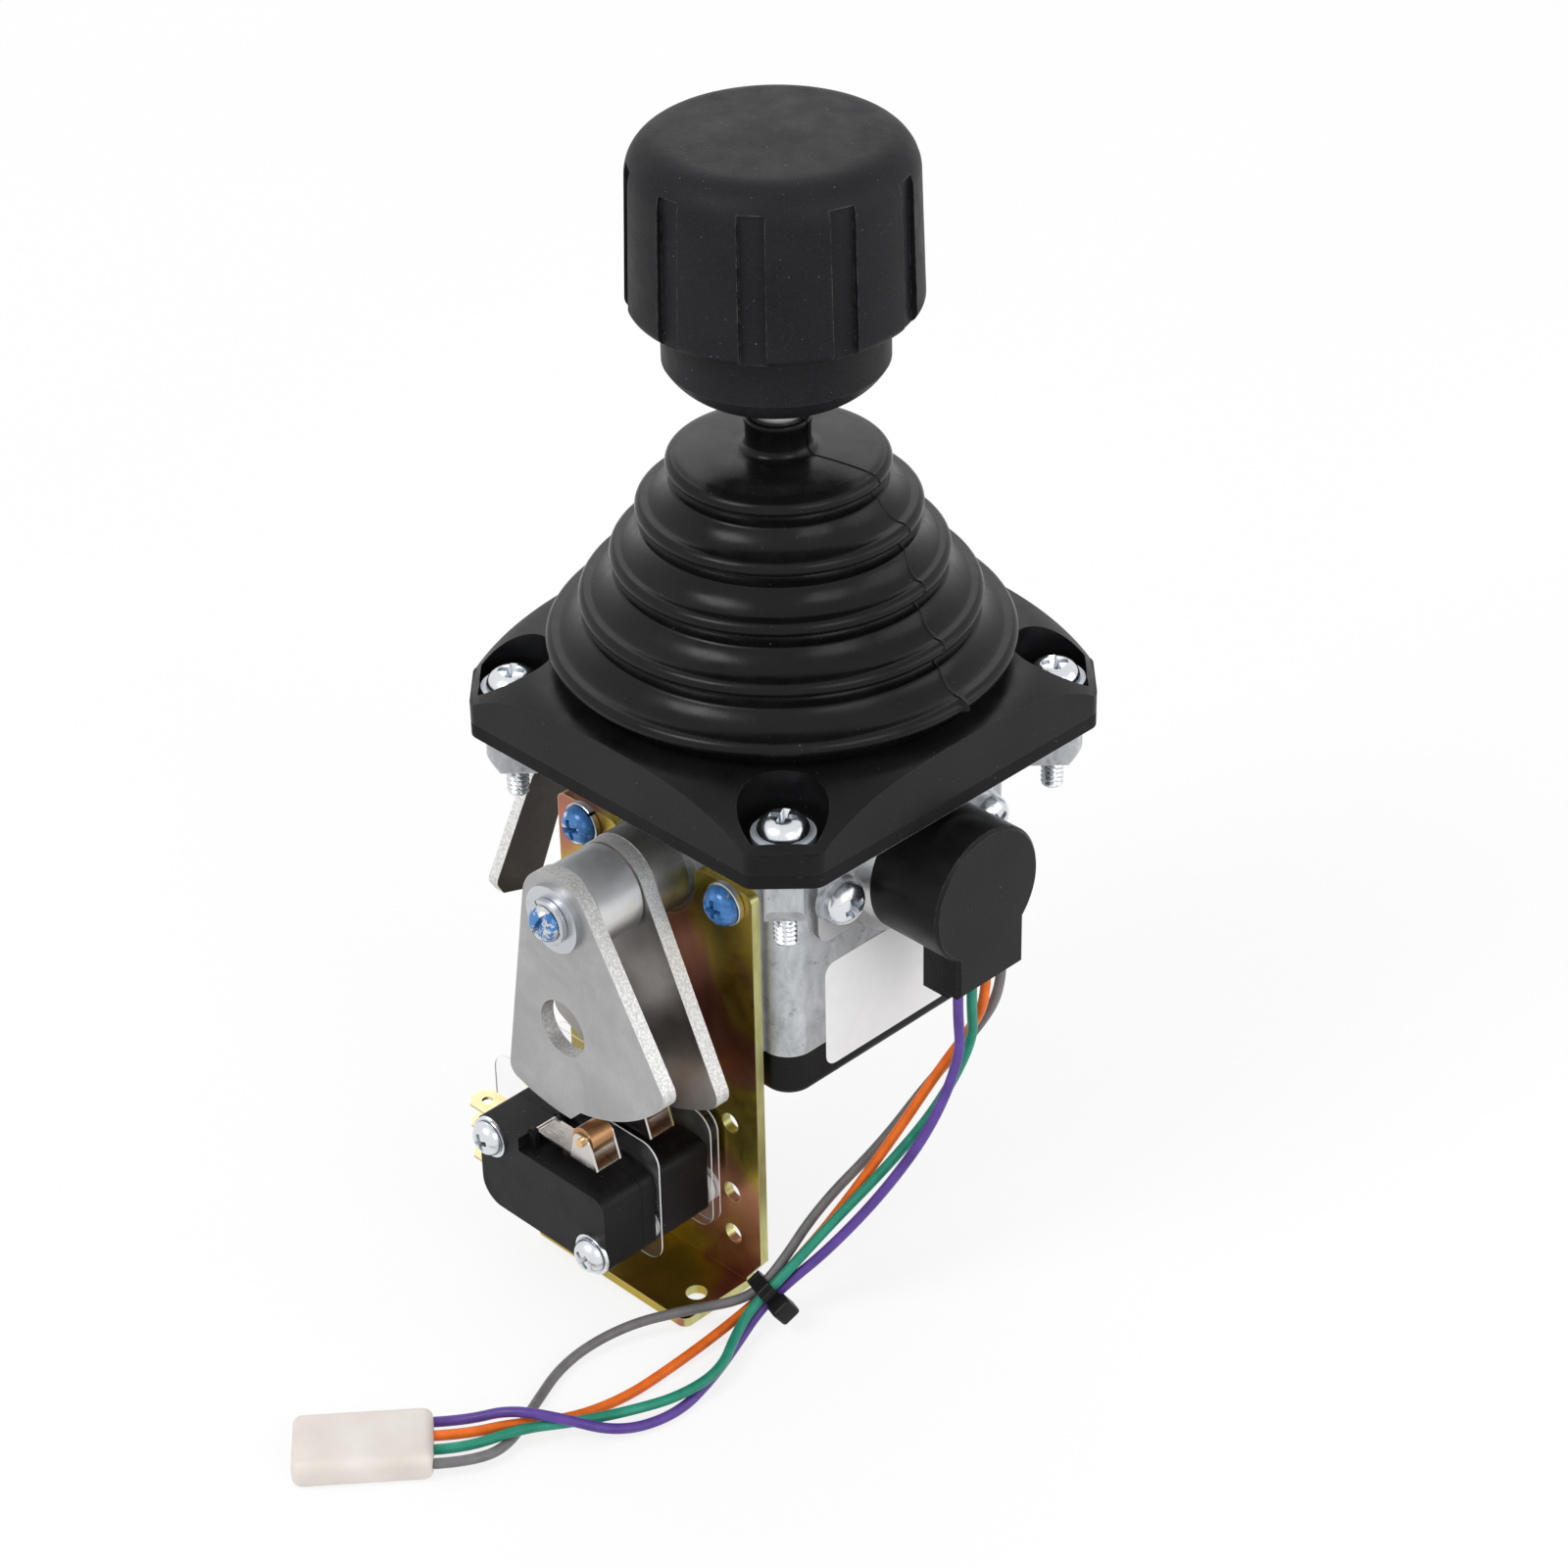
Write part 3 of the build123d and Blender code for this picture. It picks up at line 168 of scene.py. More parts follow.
def showMix(tree, share, first, second):
    # the surface shows the second shader by this share and the first for the rest
    mix = tree.nodes.new("ShaderNodeMixShader")
    for index, socket in enumerate((share, first, second)):
        tree.links.new(socket, mix.inputs[index])
    tree.links.new(mix.outputs[0], tree.nodes["Material Output"].inputs["Surface"])


def addSkin(tree, shader, tone, gloss, height, depth):
    # colour, roughness and a bump of this depth
    tree.links.new(tone, shader.inputs["Base Color"])
    tree.links.new(gloss, shader.inputs["Roughness"])
    box = tree.nodes.new("ShaderNodeBump")
    setInputs(box, {"Distance": depth, "Strength": 1.0})
    tree.links.new(height, box.inputs["Height"])
    tree.links.new(box.outputs["Normal"], shader.inputs["Normal"])


def edgeMask(tree, radius, low, high):
    # bright where the rounded normal leaves the true one, which is along sharp edges
    bevel = tree.nodes.new("ShaderNodeBevel")
    bevel.samples = 4
    bevel.inputs["Radius"].default_value = radius
    geometry = tree.nodes.new("ShaderNodeNewGeometry")
    dot = tree.nodes.new("ShaderNodeVectorMath")
    dot.operation = "DOT_PRODUCT"
    tree.links.new(bevel.outputs["Normal"], dot.inputs[0])
    tree.links.new(geometry.outputs["Normal"], dot.inputs[1])
    return levels(tree, dot.outputs["Value"], high, low)


def facingMask(tree, axis, low=0.55, high=0.75):
    # 1 on surfaces that look along an axis of the part, 0 on the others
    coord = tree.nodes.new("ShaderNodeTexCoord")
    split = tree.nodes.new("ShaderNodeSeparateXYZ")
    tree.links.new(coord.outputs["Normal"], split.inputs[0])
    return levels(tree, sum2(tree, split.outputs[axis], 0.0, "ABSOLUTE"), low, high)


def recessShadeMask(tree, distance=0.0007):
    # painted shade: 1 in slots and between threads, where ambient occlusion falls
    box = tree.nodes.new("ShaderNodeAmbientOcclusion")
    box.samples = 6
    box.inputs["Distance"].default_value = distance
    return levels(tree, box.outputs["AO"], 0.75, 0.25)


def lineMask(tree, coord, axis, places, half):
    # thin parting lines at stated places along an axis
    split = tree.nodes.new("ShaderNodeSeparateXYZ")
    tree.links.new(coord, split.inputs[0])
    total = None
    for place in places:
        off = sum2(tree, sum2(tree, split.outputs[axis], place, "SUBTRACT"), 0.0, "ABSOLUTE")
        line = levels(tree, off, half, half * 0.5)
        total = line if total is None else sum2(tree, total, line, "MAXIMUM")
    return total


def mouldedFinish(name, colour, rough=0.5, grain=0.00002, grainScale=2500, dust=0.0, dustTone=0.1,
                  patch=0.25, specular=0.3, scuffs=0.0, wear=0.0, lines=None):
    # moulded plastic or rubber: fine grain, cloudy tone, dust specks, scuffs, rubbed edges and parting lines
    mat, tree, shader, coord = startMaterial(name)
    cloud = patches(tree, coord, (60, 5, 0.6), 0.35, 0.65)
    tone = blendColour(tree, cloud, shade(colour, 1 - patch), shade(colour, 1 + patch, 0.002))
    if scuffs:
        along = stretched(tree, coord, (900, 900, 60))
        rub = patches(tree, along, (1.0, 3, 0.7, 0.6), 0.64, 0.8, 0.0, scuffs)
        tone = blendColour(tree, rub, tone, shade(colour, 1.6, 0.004))
        speckle = patches(tree, coord, (3800, 2, 0.7), 0.52, 0.68, 0.0, scuffs)
        tone = blendColour(tree, speckle, tone, shade(colour, 1.7, 0.006))
    if wear:
        chips = patches(tree, coord, (800, 3, 0.7), 0.4, 0.6)
        chipped = sum2(tree, edgeMask(tree, 0.0003, 0.9, 0.995), chips, "MULTIPLY")
        tone = blendColour(tree, sum2(tree, chipped, wear, "MULTIPLY"), tone, (0.09, 0.09, 0.088))
    if dust:
        fleck = patches(tree, coord, (2100, 2, 0.5), 0.78 - dust, 0.80 - dust)
        tone = blendColour(tree, fleck, tone, (dustTone, dustTone, dustTone))
    height = noise(tree, coord, grainScale, 2, 0.6)
    if lines:
        cut = lineMask(tree, coord, "Y", lines, 0.00012)
        tone = blendColour(tree, cut, tone, shade(colour, 0.3))
        height = sum2(tree, height, sum2(tree, cut, 3.0, "MULTIPLY"), "SUBTRACT")
    setInputs(shader, {"Specular IOR Level": specular})
    gloss = patches(tree, coord, (240, 4, 0.6), 0.3, 0.7, rough - 0.06, rough + 0.08)
    addSkin(tree, shader, tone, gloss, height, grain)
    return mat


def metalFinish(name, colour, rough=0.3, brush=(1, 1, 1), brushScale=900, wear=0.0,
                wearColour=(0.85, 0.85, 0.85), stain=0.12, bumpDepth=0.00001, pits=0.0, lineShare=0.35,
                metallic=1.0, cutAxis=None, cutAndShadeRimColour=None, recessShade=0.0):
    # metal with a rolled or ground direction, cloudy stain, brighter worn edges, a rim tone on faces across
    # the cut axis that is a bright sheared band on the cams and crank but painted shade on the pot plate, and
    # painted shade darkening recesses
    mat, tree, shader, coord = startMaterial(name)
    shader.inputs["Metallic"].default_value = metallic
    lines = noise(tree, stretched(tree, coord, brush), brushScale, 3, 0.65)
    cloud = noise(tree, coord, 90, 5, 0.6, 0.4)
    darker, lighter = shade(colour, 1 - stain), shade(colour, 1 + stain * 0.6)
    tone = blendColour(tree, levels(tree, cloud, 0.35, 0.65), darker, lighter)
    tone = blendColour(tree, levels(tree, lines, 0.3, 0.7, 0.0, lineShare), tone, darker)
    if pits:
        fleck = patches(tree, coord, (700, 3, 0.6), 0.68, 0.74, 0.0, pits)
        tone = blendColour(tree, fleck, tone, shade(colour, 0.35))
    # rim tone on faces across the cut axis: a bright sheared band on the cams and crank, painted shade on the
    # pot plate
    if cutAndShadeRimColour:
        torn = patches(tree, coord, (2600, 3, 0.7), 0.42, 0.6)
        rim = blendColour(tree, torn, shade(cutAndShadeRimColour, 0.72), cutAndShadeRimColour)
        tone = blendColour(tree, facingMask(tree, cutAxis), rim, tone)
    if wear:
        edge = edgeMask(tree, 0.0003, 0.92, 0.995)
        tone = blendColour(tree, sum2(tree, edge, wear, "MULTIPLY"), tone, wearColour)
    # painted shade: slots and thread roots darkened by ambient occlusion
    if recessShade:
        shadeInRecess = sum2(tree, recessShadeMask(tree), recessShade, "MULTIPLY")
        tone = blendColour(tree, shadeInRecess, tone, shade(colour, 0.12))
    gloss = sum2(tree, levels(tree, lines, 0.3, 0.7, -0.05, 0.07),
                 levels(tree, cloud, 0.3, 0.7, rough - 0.04, rough + 0.06))
    if cutAndShadeRimColour:
        gloss = sum2(tree, gloss, levels(tree, facingMask(tree, cutAxis), 0, 1, 0.55, 0.0), "MAXIMUM")
    addSkin(tree, shader, tone, gloss, lines, bumpDepth)
    return mat


def castFinish():
    # grey die casting: mottled skin with flow marks, dark specks and bright corners
    mat, tree, shader, coord = startMaterial("castMetal")
    shader.inputs["Metallic"].default_value = 0.8
    cloud = noise(tree, stretched(tree, coord, (1, 1, 0.45)), 260, 7, 0.75, 0.5)
    skin = noise(tree, coord, 1500, 4, 0.7)
    tone = blendColour(tree, levels(tree, cloud, 0.34, 0.66), (0.34, 0.355, 0.37), (0.60, 0.62, 0.64))
    spot = patches(tree, coord, (520, 4, 0.65), 0.60, 0.70, 0.0, 0.55)
    tone = blendColour(tree, spot, tone, (0.16, 0.165, 0.17))
    corner = sum2(tree, edgeMask(tree, 0.0005, 0.88, 0.99), 0.6, "MULTIPLY")
    tone = blendColour(tree, corner, tone, (0.66, 0.67, 0.68))
    height = sum2(tree, skin, levels(tree, cloud, 0, 1, 0, 1.5))
    addSkin(tree, shader, tone, levels(tree, skin, 0.3, 0.7, 0.33, 0.52), height, 0.00005)
    return mat


chromateStops = {0.41: (0.56, 0.40, 0.05), 0.48: (0.46, 0.20, 0.11), 0.55: (0.37, 0.14, 0.10),
                 0.62: (0.50, 0.16, 0.12)}


def chromateFinish():
    # yellow chromate over zinc: brown faces with drifting olive and rose, yellow-green sheared rim
    mat, tree, shader, coord = startMaterial("yellowChromate")
    shader.inputs["Metallic"].default_value = 1.0
    drift = noise(tree, stretched(tree, coord, (1, 1, 0.7)), 46, 2, 0.45, 0.8)
    ramp = tree.nodes.new("ShaderNodeValToRGB")
    first, last = ramp.color_ramp.elements
    first.position = 0.3
    first.color = (0.34, 0.31, 0.04, 1)
    last.position = 0.72
    last.color = (0.60, 0.27, 0.19, 1)
    for place, colour in chromateStops.items():
        ramp.color_ramp.elements.new(place).color = (*colour, 1)
    tree.links.new(drift, ramp.inputs["Fac"])
    grit = patches(tree, coord, (2600, 3, 0.7), 0.3, 0.7, 0.0, 0.25)
    tone = blendColour(tree, grit, ramp.outputs["Color"], (0.25, 0.14, 0.07))
    torn = patches(tree, stretched(tree, coord, (1, 1, 0.3)), (500, 3, 0.6), 0.35, 0.65)
    rim = blendColour(tree, torn, (0.46, 0.45, 0.17), (0.60, 0.58, 0.27))
    tone = blendColour(tree, facingMask(tree, "X"), tone, rim)
    edge = sum2(tree, edgeMask(tree, 0.00035, 0.9, 0.99), 0.75, "MULTIPLY")
    tone = blendColour(tree, edge, tone, (0.66, 0.63, 0.32))
    gloss = patches(tree, coord, (500, 4, 0.6), 0.3, 0.7, 0.3, 0.42)
    addSkin(tree, shader, tone, gloss, noise(tree, coord, 1600, 3, 0.6), 0.000004)
    return mat


def filmFinish():
    # clear insulating film: nearly invisible on its faces; along its cut edge it turns pale and opaque, a
    # painted highlight for the edge's glint
    mat, tree, shader, coord = startMaterial("clearFilm")
    clear = tree.nodes.new("ShaderNodeBsdfTransparent")
    clear.inputs["Color"].default_value = (0.985, 0.985, 0.99, 1)
    shader.inputs["Base Color"].default_value = (0.80, 0.81, 0.83, 1)
    tree.links.new(patches(tree, coord, (160, 3, 0.5), 0.3, 0.7, 0.08, 0.25), shader.inputs["Roughness"])
    haze = patches(tree, coord, (300, 3, 0.6), 0.45, 0.8, 0.015, 0.07)
    # painted highlight: the pale opaque shader shows on the edge faces
    rim = levels(tree, facingMask(tree, "Y", 0.4, 0.6), 0, 1, 0.9, 0.0)
    showMix(tree, sum2(tree, rim, haze, "MAXIMUM"), clear.outputs[0], shader.outputs[0])
    return mat


def nylonFinish(dark, light):
    # natural nylon: off white, a little translucent, softly mottled
    mat, tree, shader, coord = startMaterial("naturalNylon")
    setInputs(shader, {"Subsurface Weight": 0.5, "Subsurface Radius": (0.004, 0.003, 0.0024),
                       "Subsurface Scale": 0.6})
    tone = blendColour(tree, patches(tree, coord, (120, 3, 0.5)), dark, light)
    gloss = patches(tree, coord, (500, 3, 0.6), 0.3, 0.7, 0.38, 0.5)
    addSkin(tree, shader, tone, gloss, noise(tree, coord, 1800, 2, 0.5), 0.00002)
    return mat


def sheathFinish(name, colour):
    # thin PVC insulation, slightly glossy, faint ripples along the lay
    mat, tree, shader, coord = startMaterial(name)
    cloud = patches(tree, coord, (220, 4, 0.6))
    tone = blendColour(tree, cloud, shade(colour, 0.75), shade(colour, 1.15, 0.01))
    setInputs(shader, {"Specular IOR Level": 0.25, "Coat Weight": 0.05, "Coat Roughness": 0.2})
    gloss = patches(tree, coord, (900, 2, 0.5), 0.3, 0.7, 0.28, 0.42)
    addSkin(tree, shader, tone, gloss, noise(tree, coord, 1100, 2, 0.5), 0.00002)
    return mat


def varnishFinish(name, bare):
    # blue marking varnish brushed over a bright zinc head, bare in a few spots, with painted shade darkening
    # its recess
    mat, tree, shader, coord = startMaterial(name)
    cover = patches(tree, coord, (420, 3, 0.6, 0.8), bare, bare + 0.04)
    depth = patches(tree, coord, (900, 2, 0.5), 0.35, 0.65)
    varnish = blendColour(tree, depth, (0.025, 0.13, 0.38), (0.055, 0.21, 0.50))
    tone = blendColour(tree, cover, (0.62, 0.64, 0.66), varnish)
    # painted shade: the cross recess darkened by ambient occlusion
    shadeInRecess = sum2(tree, recessShadeMask(tree), 0.8, "MULTIPLY")
    tone = blendColour(tree, shadeInRecess, tone, (0.01, 0.03, 0.09))
    tree.links.new(levels(tree, cover, 0, 1, 1.0, 0.15), shader.inputs["Metallic"])
    addSkin(tree, shader, tone, levels(tree, cover, 0, 1, 0.28, 0.22), cover, 0.00003)
    return mat


def labelFinish():
    # blank white vinyl with a slight orange peel and soiled patches
    mat, tree, shader, coord = startMaterial("blankLabel")
    tone = blendColour(tree, patches(tree, coord, (400, 4, 0.6)), (0.86, 0.86, 0.86), (0.90, 0.90, 0.905))
    soiled = patches(tree, coord, (900, 3, 0.7), 0.68, 0.78, 0.0, 0.2)
    tone = blendColour(tree, soiled, tone, (0.6, 0.6, 0.59))
    gloss = patches(tree, coord, (300, 3, 0.6), 0.3, 0.7, 0.3, 0.45)
    addSkin(tree, shader, tone, gloss, noise(tree, coord, 700, 2, 0.5), 0.00002)
    return mat


black = (0.004, 0.004, 0.0044)
camCut = (0.76, 0.755, 0.745)
finish = {
    "knob": mouldedFinish("knobPlastic", (0.0085, 0.0086, 0.0102), 0.5, 0.00003, 1900, 0.03, 0.14,
        specular=0.13, scuffs=0.7, wear=0.7),
    "boot": mouldedFinish("bootRubber", black, 0.25, 0.00001, 2600, 0.02, 0.1, 0.2, 0.17),
    "cover": mouldedFinish("coverPlastic", (0.0048, 0.0048, 0.0055), 0.32, 0.00002, 2400, 0.02, 0.1,
        0.2, 0.15, wear=0.15),
    "gasket": mouldedFinish("gasketRubber", (0.006, 0.006, 0.0065), 0.6, 0.00003, 1500, 0.03, 0.1, 0.3, 0.12),
    "cap": mouldedFinish("capPlastic", black, 0.36, 0.00002, 2400, 0.02, 0.15, 0.2, 0.15),
    "switchCase": mouldedFinish("switchPlastic", (0.0052, 0.0052, 0.0058), 0.4, 0.00003, 2200, 0.025, 0.12,
        0.25, 0.15, lines=(-0.0432, -0.0322)),
    "pot": mouldedFinish("potPlastic", (0.006, 0.006, 0.0066), 0.36, 0.00003, 2000, 0.02, 0.12,
        0.25, 0.16, wear=0.5),
    "tie": mouldedFinish("tieNylon", (0.005, 0.005, 0.0055), 0.36, 0.00002, 1800, patch=0.2, specular=0.2),
    "button": mouldedFinish("switchButton", (0.02, 0.018, 0.017), 0.4, 0.00002, 1800, patch=0.2),
    "spacer": mouldedFinish("spacerNylon", (0.7, 0.7, 0.68), 0.5, 0.00002, 1800, patch=0.06, specular=0.5),
    "collar": metalFinish("wornCollar", (0.34, 0.33, 0.31), 0.42, (0.25, 14, 0.25), 700, 0.7,
        (0.6, 0.59, 0.57), 0.4, pits=0.5),
    "zinc": metalFinish("brightZinc", (0.72, 0.75, 0.785), 0.2, (1, 1, 1), 5200, 0.3, stain=0.08,
        bumpDepth=0.000003, lineShare=0.1, recessShade=0.85),
    "washer": metalFinish("zincWasher", (0.58, 0.60, 0.63), 0.3, (1, 1, 1), 4200, 0.3, stain=0.1,
        bumpDepth=0.000004, lineShare=0.2),
    "paleWasher": metalFinish("paleWasher", (0.56, 0.61, 0.66), 0.45, (1, 1, 1), 4200, 0.2, stain=0.08,
        bumpDepth=0.000004, lineShare=0.15, metallic=0.35),
    "steel": metalFinish("turnedSteel", (0.56, 0.56, 0.57), 0.2, (1, 30, 1), 260, 0.3, bumpDepth=0.000004),
    "hub": metalFinish("turnedHub", (0.78, 0.79, 0.80), 0.38, (1, 30, 1), 260, 0.3, stain=0.1,
        bumpDepth=0.000004),
    "chrome": metalFinish("leverChrome", (0.86, 0.86, 0.86), 0.3, (1, 1, 30), 300, 0.2, stain=0.06,
        bumpDepth=0.000002, metallic=0.5),
    "camFront": metalFinish("camSteel", (0.44, 0.438, 0.44), 0.42, (1, 1, 0.5), 2400, 0.4,
        (0.66, 0.65, 0.64), 0.16, 0.000008, 0.3, 0.14, cutAxis="Y", cutAndShadeRimColour=camCut),
    # a darker copy of the cam steel: painted shade on the inner cam, which sits behind the outer cam
    "camBackShaded": metalFinish("camSteelShadedInner", (0.33, 0.31, 0.295), 0.34, (1, 1, 0.5), 2400, 0.4,
        (0.66, 0.65, 0.63), 0.2, 0.000003, 0.25, 0.12, cutAxis="Y", cutAndShadeRimColour=camCut),
    # crank arm: dark steel, darkened further as painted shade for its face in shadow under the cover
    "crank": metalFinish("crankSteelShaded", (0.125, 0.107, 0.092), 0.34, (1, 1, 0.5), 2400, 0.5, (0.7, 0.69, 0.67),
        0.25, 0.000003, 0.3, 0.12, cutAxis="X", cutAndShadeRimColour=(0.80, 0.795, 0.78)),
    "leaf": metalFinish("springLeaf", (0.66, 0.63, 0.60), 0.2, (1, 14, 1), 500, 0.4, stain=0.1,
        bumpDepth=0.000003),
    # pot plate: the dark rim colour is painted shade on the sheet's edges
    "plate": metalFinish("stainlessPlate", (0.66, 0.66, 0.66), 0.42, (1, 0.3, 1), 2600, 0.4, stain=0.06,
        bumpDepth=0.000001, lineShare=0.1, cutAxis="X", cutAndShadeRimColour=(0.3, 0.29, 0.28)),
    "potMetal": metalFinish("potRing", (0.86, 0.86, 0.855), 0.3, (6, 1, 1), 500, 0.3, stain=0.06,
        bumpDepth=0.000001, lineShare=0.1),
    "brassPin": metalFinish("brassPin", (0.76, 0.52, 0.26), 0.2, (1, 1, 1), 3000, 0.2, (0.9, 0.75, 0.5),
        0.12, 0.000003),
    "bronze": metalFinish("bronzeRoller", (0.46, 0.25, 0.115), 0.34, (1, 12, 1), 700, 0.4,
        (0.8, 0.55, 0.35), 0.2, 0.000005, 0.4),
    "terminal": metalFinish("terminalBrass", (0.70, 0.60, 0.34), 0.3, (0.3, 1, 1), 900, 0.3,
        (0.9, 0.82, 0.6), 0.14, 0.000004),
    "cast": castFinish(),
    "chromate": chromateFinish(),
    "film": filmFinish(),
    "nylon": nylonFinish((0.655, 0.60, 0.555), (0.745, 0.70, 0.66)),
    "blue": varnishFinish("blueVarnish", 0.36),
    "blueThin": varnishFinish("blueVarnishThin", 0.47),
    "label": labelFinish(),
}
sheathTones = {"wirePurple": (0.095, 0.045, 0.27), "wireGreen": (0.012, 0.235, 0.15),
               "wireOrange": (0.82, 0.15, 0.008), "wireGrey": (0.155, 0.15, 0.155)}
finish.update({name: sheathFinish(name, tone) for name, tone in sheathTones.items()})
dressing = {
    "knob": ["knob"], "cover": ["cover"], "gasket": ["gasket"], "cap": ["bottom_cap"], "pot": ["pot_body"],
    "switchCase": ["switch_case_front", "switch_case_rear"],
    "button": ["plunger_front", "plunger_rear"], "spacer": ["switch_spacers", "arm_spacer"],
    "collar": ["cam_collar"], "hub": ["cam_spacer"], "chrome": ["lever"], "paleWasher": ["corner_washers"],
    "zinc": ["switch_nuts", "switch_washers", "arm_bolt"],
    "washer": ["bracket_lock_washers", "cam_washer", "cam_lock_washer", "pot_washers", "arm_washer"],
    "steel": ["yoke", "cross_pin", "shaft_front", "shaft_rear", "bail", "shaft_pot", "shaft_arm",
              "centring_springs", "foot_plate"],
    "camFront": ["cam_outer"], "camBackShaded": ["cam_inner"], "crank": ["crank_arm"], "plate": ["pot_plate"],
    "leaf": ["leaf_front", "leaf_rear"], "potMetal": ["pot_ring"], "cast": ["casting"],
    "brassPin": ["roller_pin_front", "roller_pin_rear"], "bronze": ["roller_front", "roller_rear"],
    "terminal": ["terminals_front", "terminals_rear"], "chromate": ["bracket"], "film": ["insulators"],
}
for key, names in dressing.items():
    for name in names:
        node[name].data.materials.clear()
        node[name].data.materials.append(finish[key])
print("finishes laid on", sum(len(names) for names in dressing.values()), "nodes")


# wires
wireSizes = {"radius": 0.0008, "length": 0.124}
wireRoutes = {
    "Purple": [(0.0392, -0.0036, -0.0293), (0.0392, -0.0036, -0.0345), (0.0394, -0.003, -0.042),
               (0.0384, -0.0082, -0.053), (0.035, -0.015, -0.0634), (0.0302, -0.0223, -0.0731),
               (0.02623, -0.02747, -0.07896), (0.02472, -0.03211, -0.08244), (0.0257, -0.0377, -0.0848),
               (0.0284, -0.0456, -0.0851), (0.0304, -0.055, -0.08515), (0.0276, -0.064, -0.0846),
               (0.0215, -0.0706, -0.0811), (0.0151, -0.0745, -0.081), (0.01008, -0.07847, -0.0836),
               (0.0068, -0.08225, -0.0836)],
    "Green": [(0.0392, -0.0006, -0.0293), (0.0392, -0.0006, -0.0345), (0.0386, 0.0006, -0.0415),
              (0.037, -0.0054, -0.0516), (0.0331, -0.0126, -0.0612), (0.029, -0.021, -0.0699),
              (0.02592, -0.02842, -0.07756), (0.02441, -0.03306, -0.08104), (0.0257, -0.0381, -0.0829),
              (0.0296, -0.045, -0.0833), (0.0294, -0.0534, -0.0832), (0.0264, -0.0606, -0.0832),
              (0.0223, -0.0676, -0.0834), (0.018, -0.0751, -0.0825), (0.01461, -0.08241, -0.0836),
              (0.01133, -0.08618, -0.0836)],
    "Orange": [(0.0392, 0.0025, -0.0293), (0.0392, 0.0025, -0.0343), (0.0372, 0.0024, -0.04),
               (0.0346, -0.003, -0.0476), (0.0322, -0.0096, -0.057), (0.0281, -0.0194, -0.0704),
               (0.02459, -0.02694, -0.07896), (0.02308, -0.03158, -0.08244), (0.0222, -0.0394, -0.0846),
               (0.0222, -0.0484, -0.0851), (0.0222, -0.0578, -0.0851), (0.02, -0.067, -0.0847),
               (0.0162, -0.0751, -0.0827), (0.01235, -0.08044, -0.0836), (0.00907, -0.08422, -0.0836)],
    "Grey": [(0.0392, 0.0059, -0.0293), (0.0392, 0.0059, -0.0347), (0.036, 0.0048, -0.0424),
             (0.032, -0.0026, -0.0516), (0.0292, -0.0096, -0.0604), (0.0253, -0.0195, -0.0692),
             (0.02428, -0.02789, -0.07756), (0.02277, -0.03253, -0.08104), (0.0175, -0.0397, -0.0818),
             (0.0116, -0.048, -0.0833), (0.0096, -0.0586, -0.0849), (0.0138, -0.0691, -0.08515),
             (0.0182, -0.078, -0.0844), (0.01688, -0.08438, -0.0836), (0.0136, -0.08815, -0.0836)],
}


def layWire(colour, route):
    data = bpy.data.curves.new("wire" + colour, "CURVE")
    data.dimensions = "3D"
    spline = data.splines.new("NURBS")
    spline.points.add(len(route) - 1)
    for point, place in zip(spline.points, route):
        point.co = (*place, 1)
    spline.order_u = 3
    spline.use_endpoint_u = True
    spline.resolution_u = 10
    data.bevel_depth = wireSizes["radius"]
    data.bevel_resolution = 5
    data.use_fill_caps = True
    data.materials.append(finish["wire" + colour])
    wire = addObject("wire" + colour, data)
    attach(wire, "housing")
    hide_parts("wire_" + colour.lower())
    return wire


wires = {colour: layWire(colour, route) for colour, route in wireRoutes.items()}
print("wires laid:", len(wires))


# mesh helpers
def meshFrom(name, bm):
    data = bpy.data.meshes.new(name)
    bm.to_mesh(data)
    bm.free()
    return data


def finishMesh(name, bm, material, sharpAngle):
    bmesh.ops.remove_doubles(bm, verts=bm.verts, dist=1e-7)
    bmesh.ops.recalc_face_normals(bm, faces=bm.faces)
    for edge in bm.edges:
        if len(edge.link_faces) == 2:
            edge.smooth = edge.calc_face_angle(0) < radians(sharpAngle)
    for face in bm.faces:
        face.smooth = True
    data = meshFrom(name, bm)
    data.materials.append(material)
    return addObject(name, data)


def makePlain(piece):
    # gives a piece the mesh that its modifiers make
    bpy.context.view_layer.update()
    plain = bpy.data.meshes.new_from_object(piece.evaluated_get(bpy.context.evaluated_depsgraph_get()))
    piece.modifiers.clear()
    piece.data = plain


def bridge(bm, low, high):
    # quads from one closed row of points to the next
    for k in range(len(low)):
        after = (k + 1) % len(low)
        bm.faces.new((low[k], low[after], high[after], high[k]))


def turnSolid(bm, profile, count):
    # turns (radius, height) points about Z; the first and the last lie on the axis
    rows = []
    for radius, height in profile:
        angles = [2 * pi * step / count for step in range(count if radius > 0 else 1)]
        rows.append([bm.verts.new((radius * cos(a), radius * sin(a), height)) for a in angles])
    for low, high in zip(rows, rows[1:]):
        if len(low) == len(high):
            bridge(bm, low, high)
            continue
        for step in range(count):
            after = (step + 1) % count
            if len(low) == 1:
                bm.faces.new((low[0], high[after], high[step]))
            else:
                bm.faces.new((low[step], low[after], high[0]))


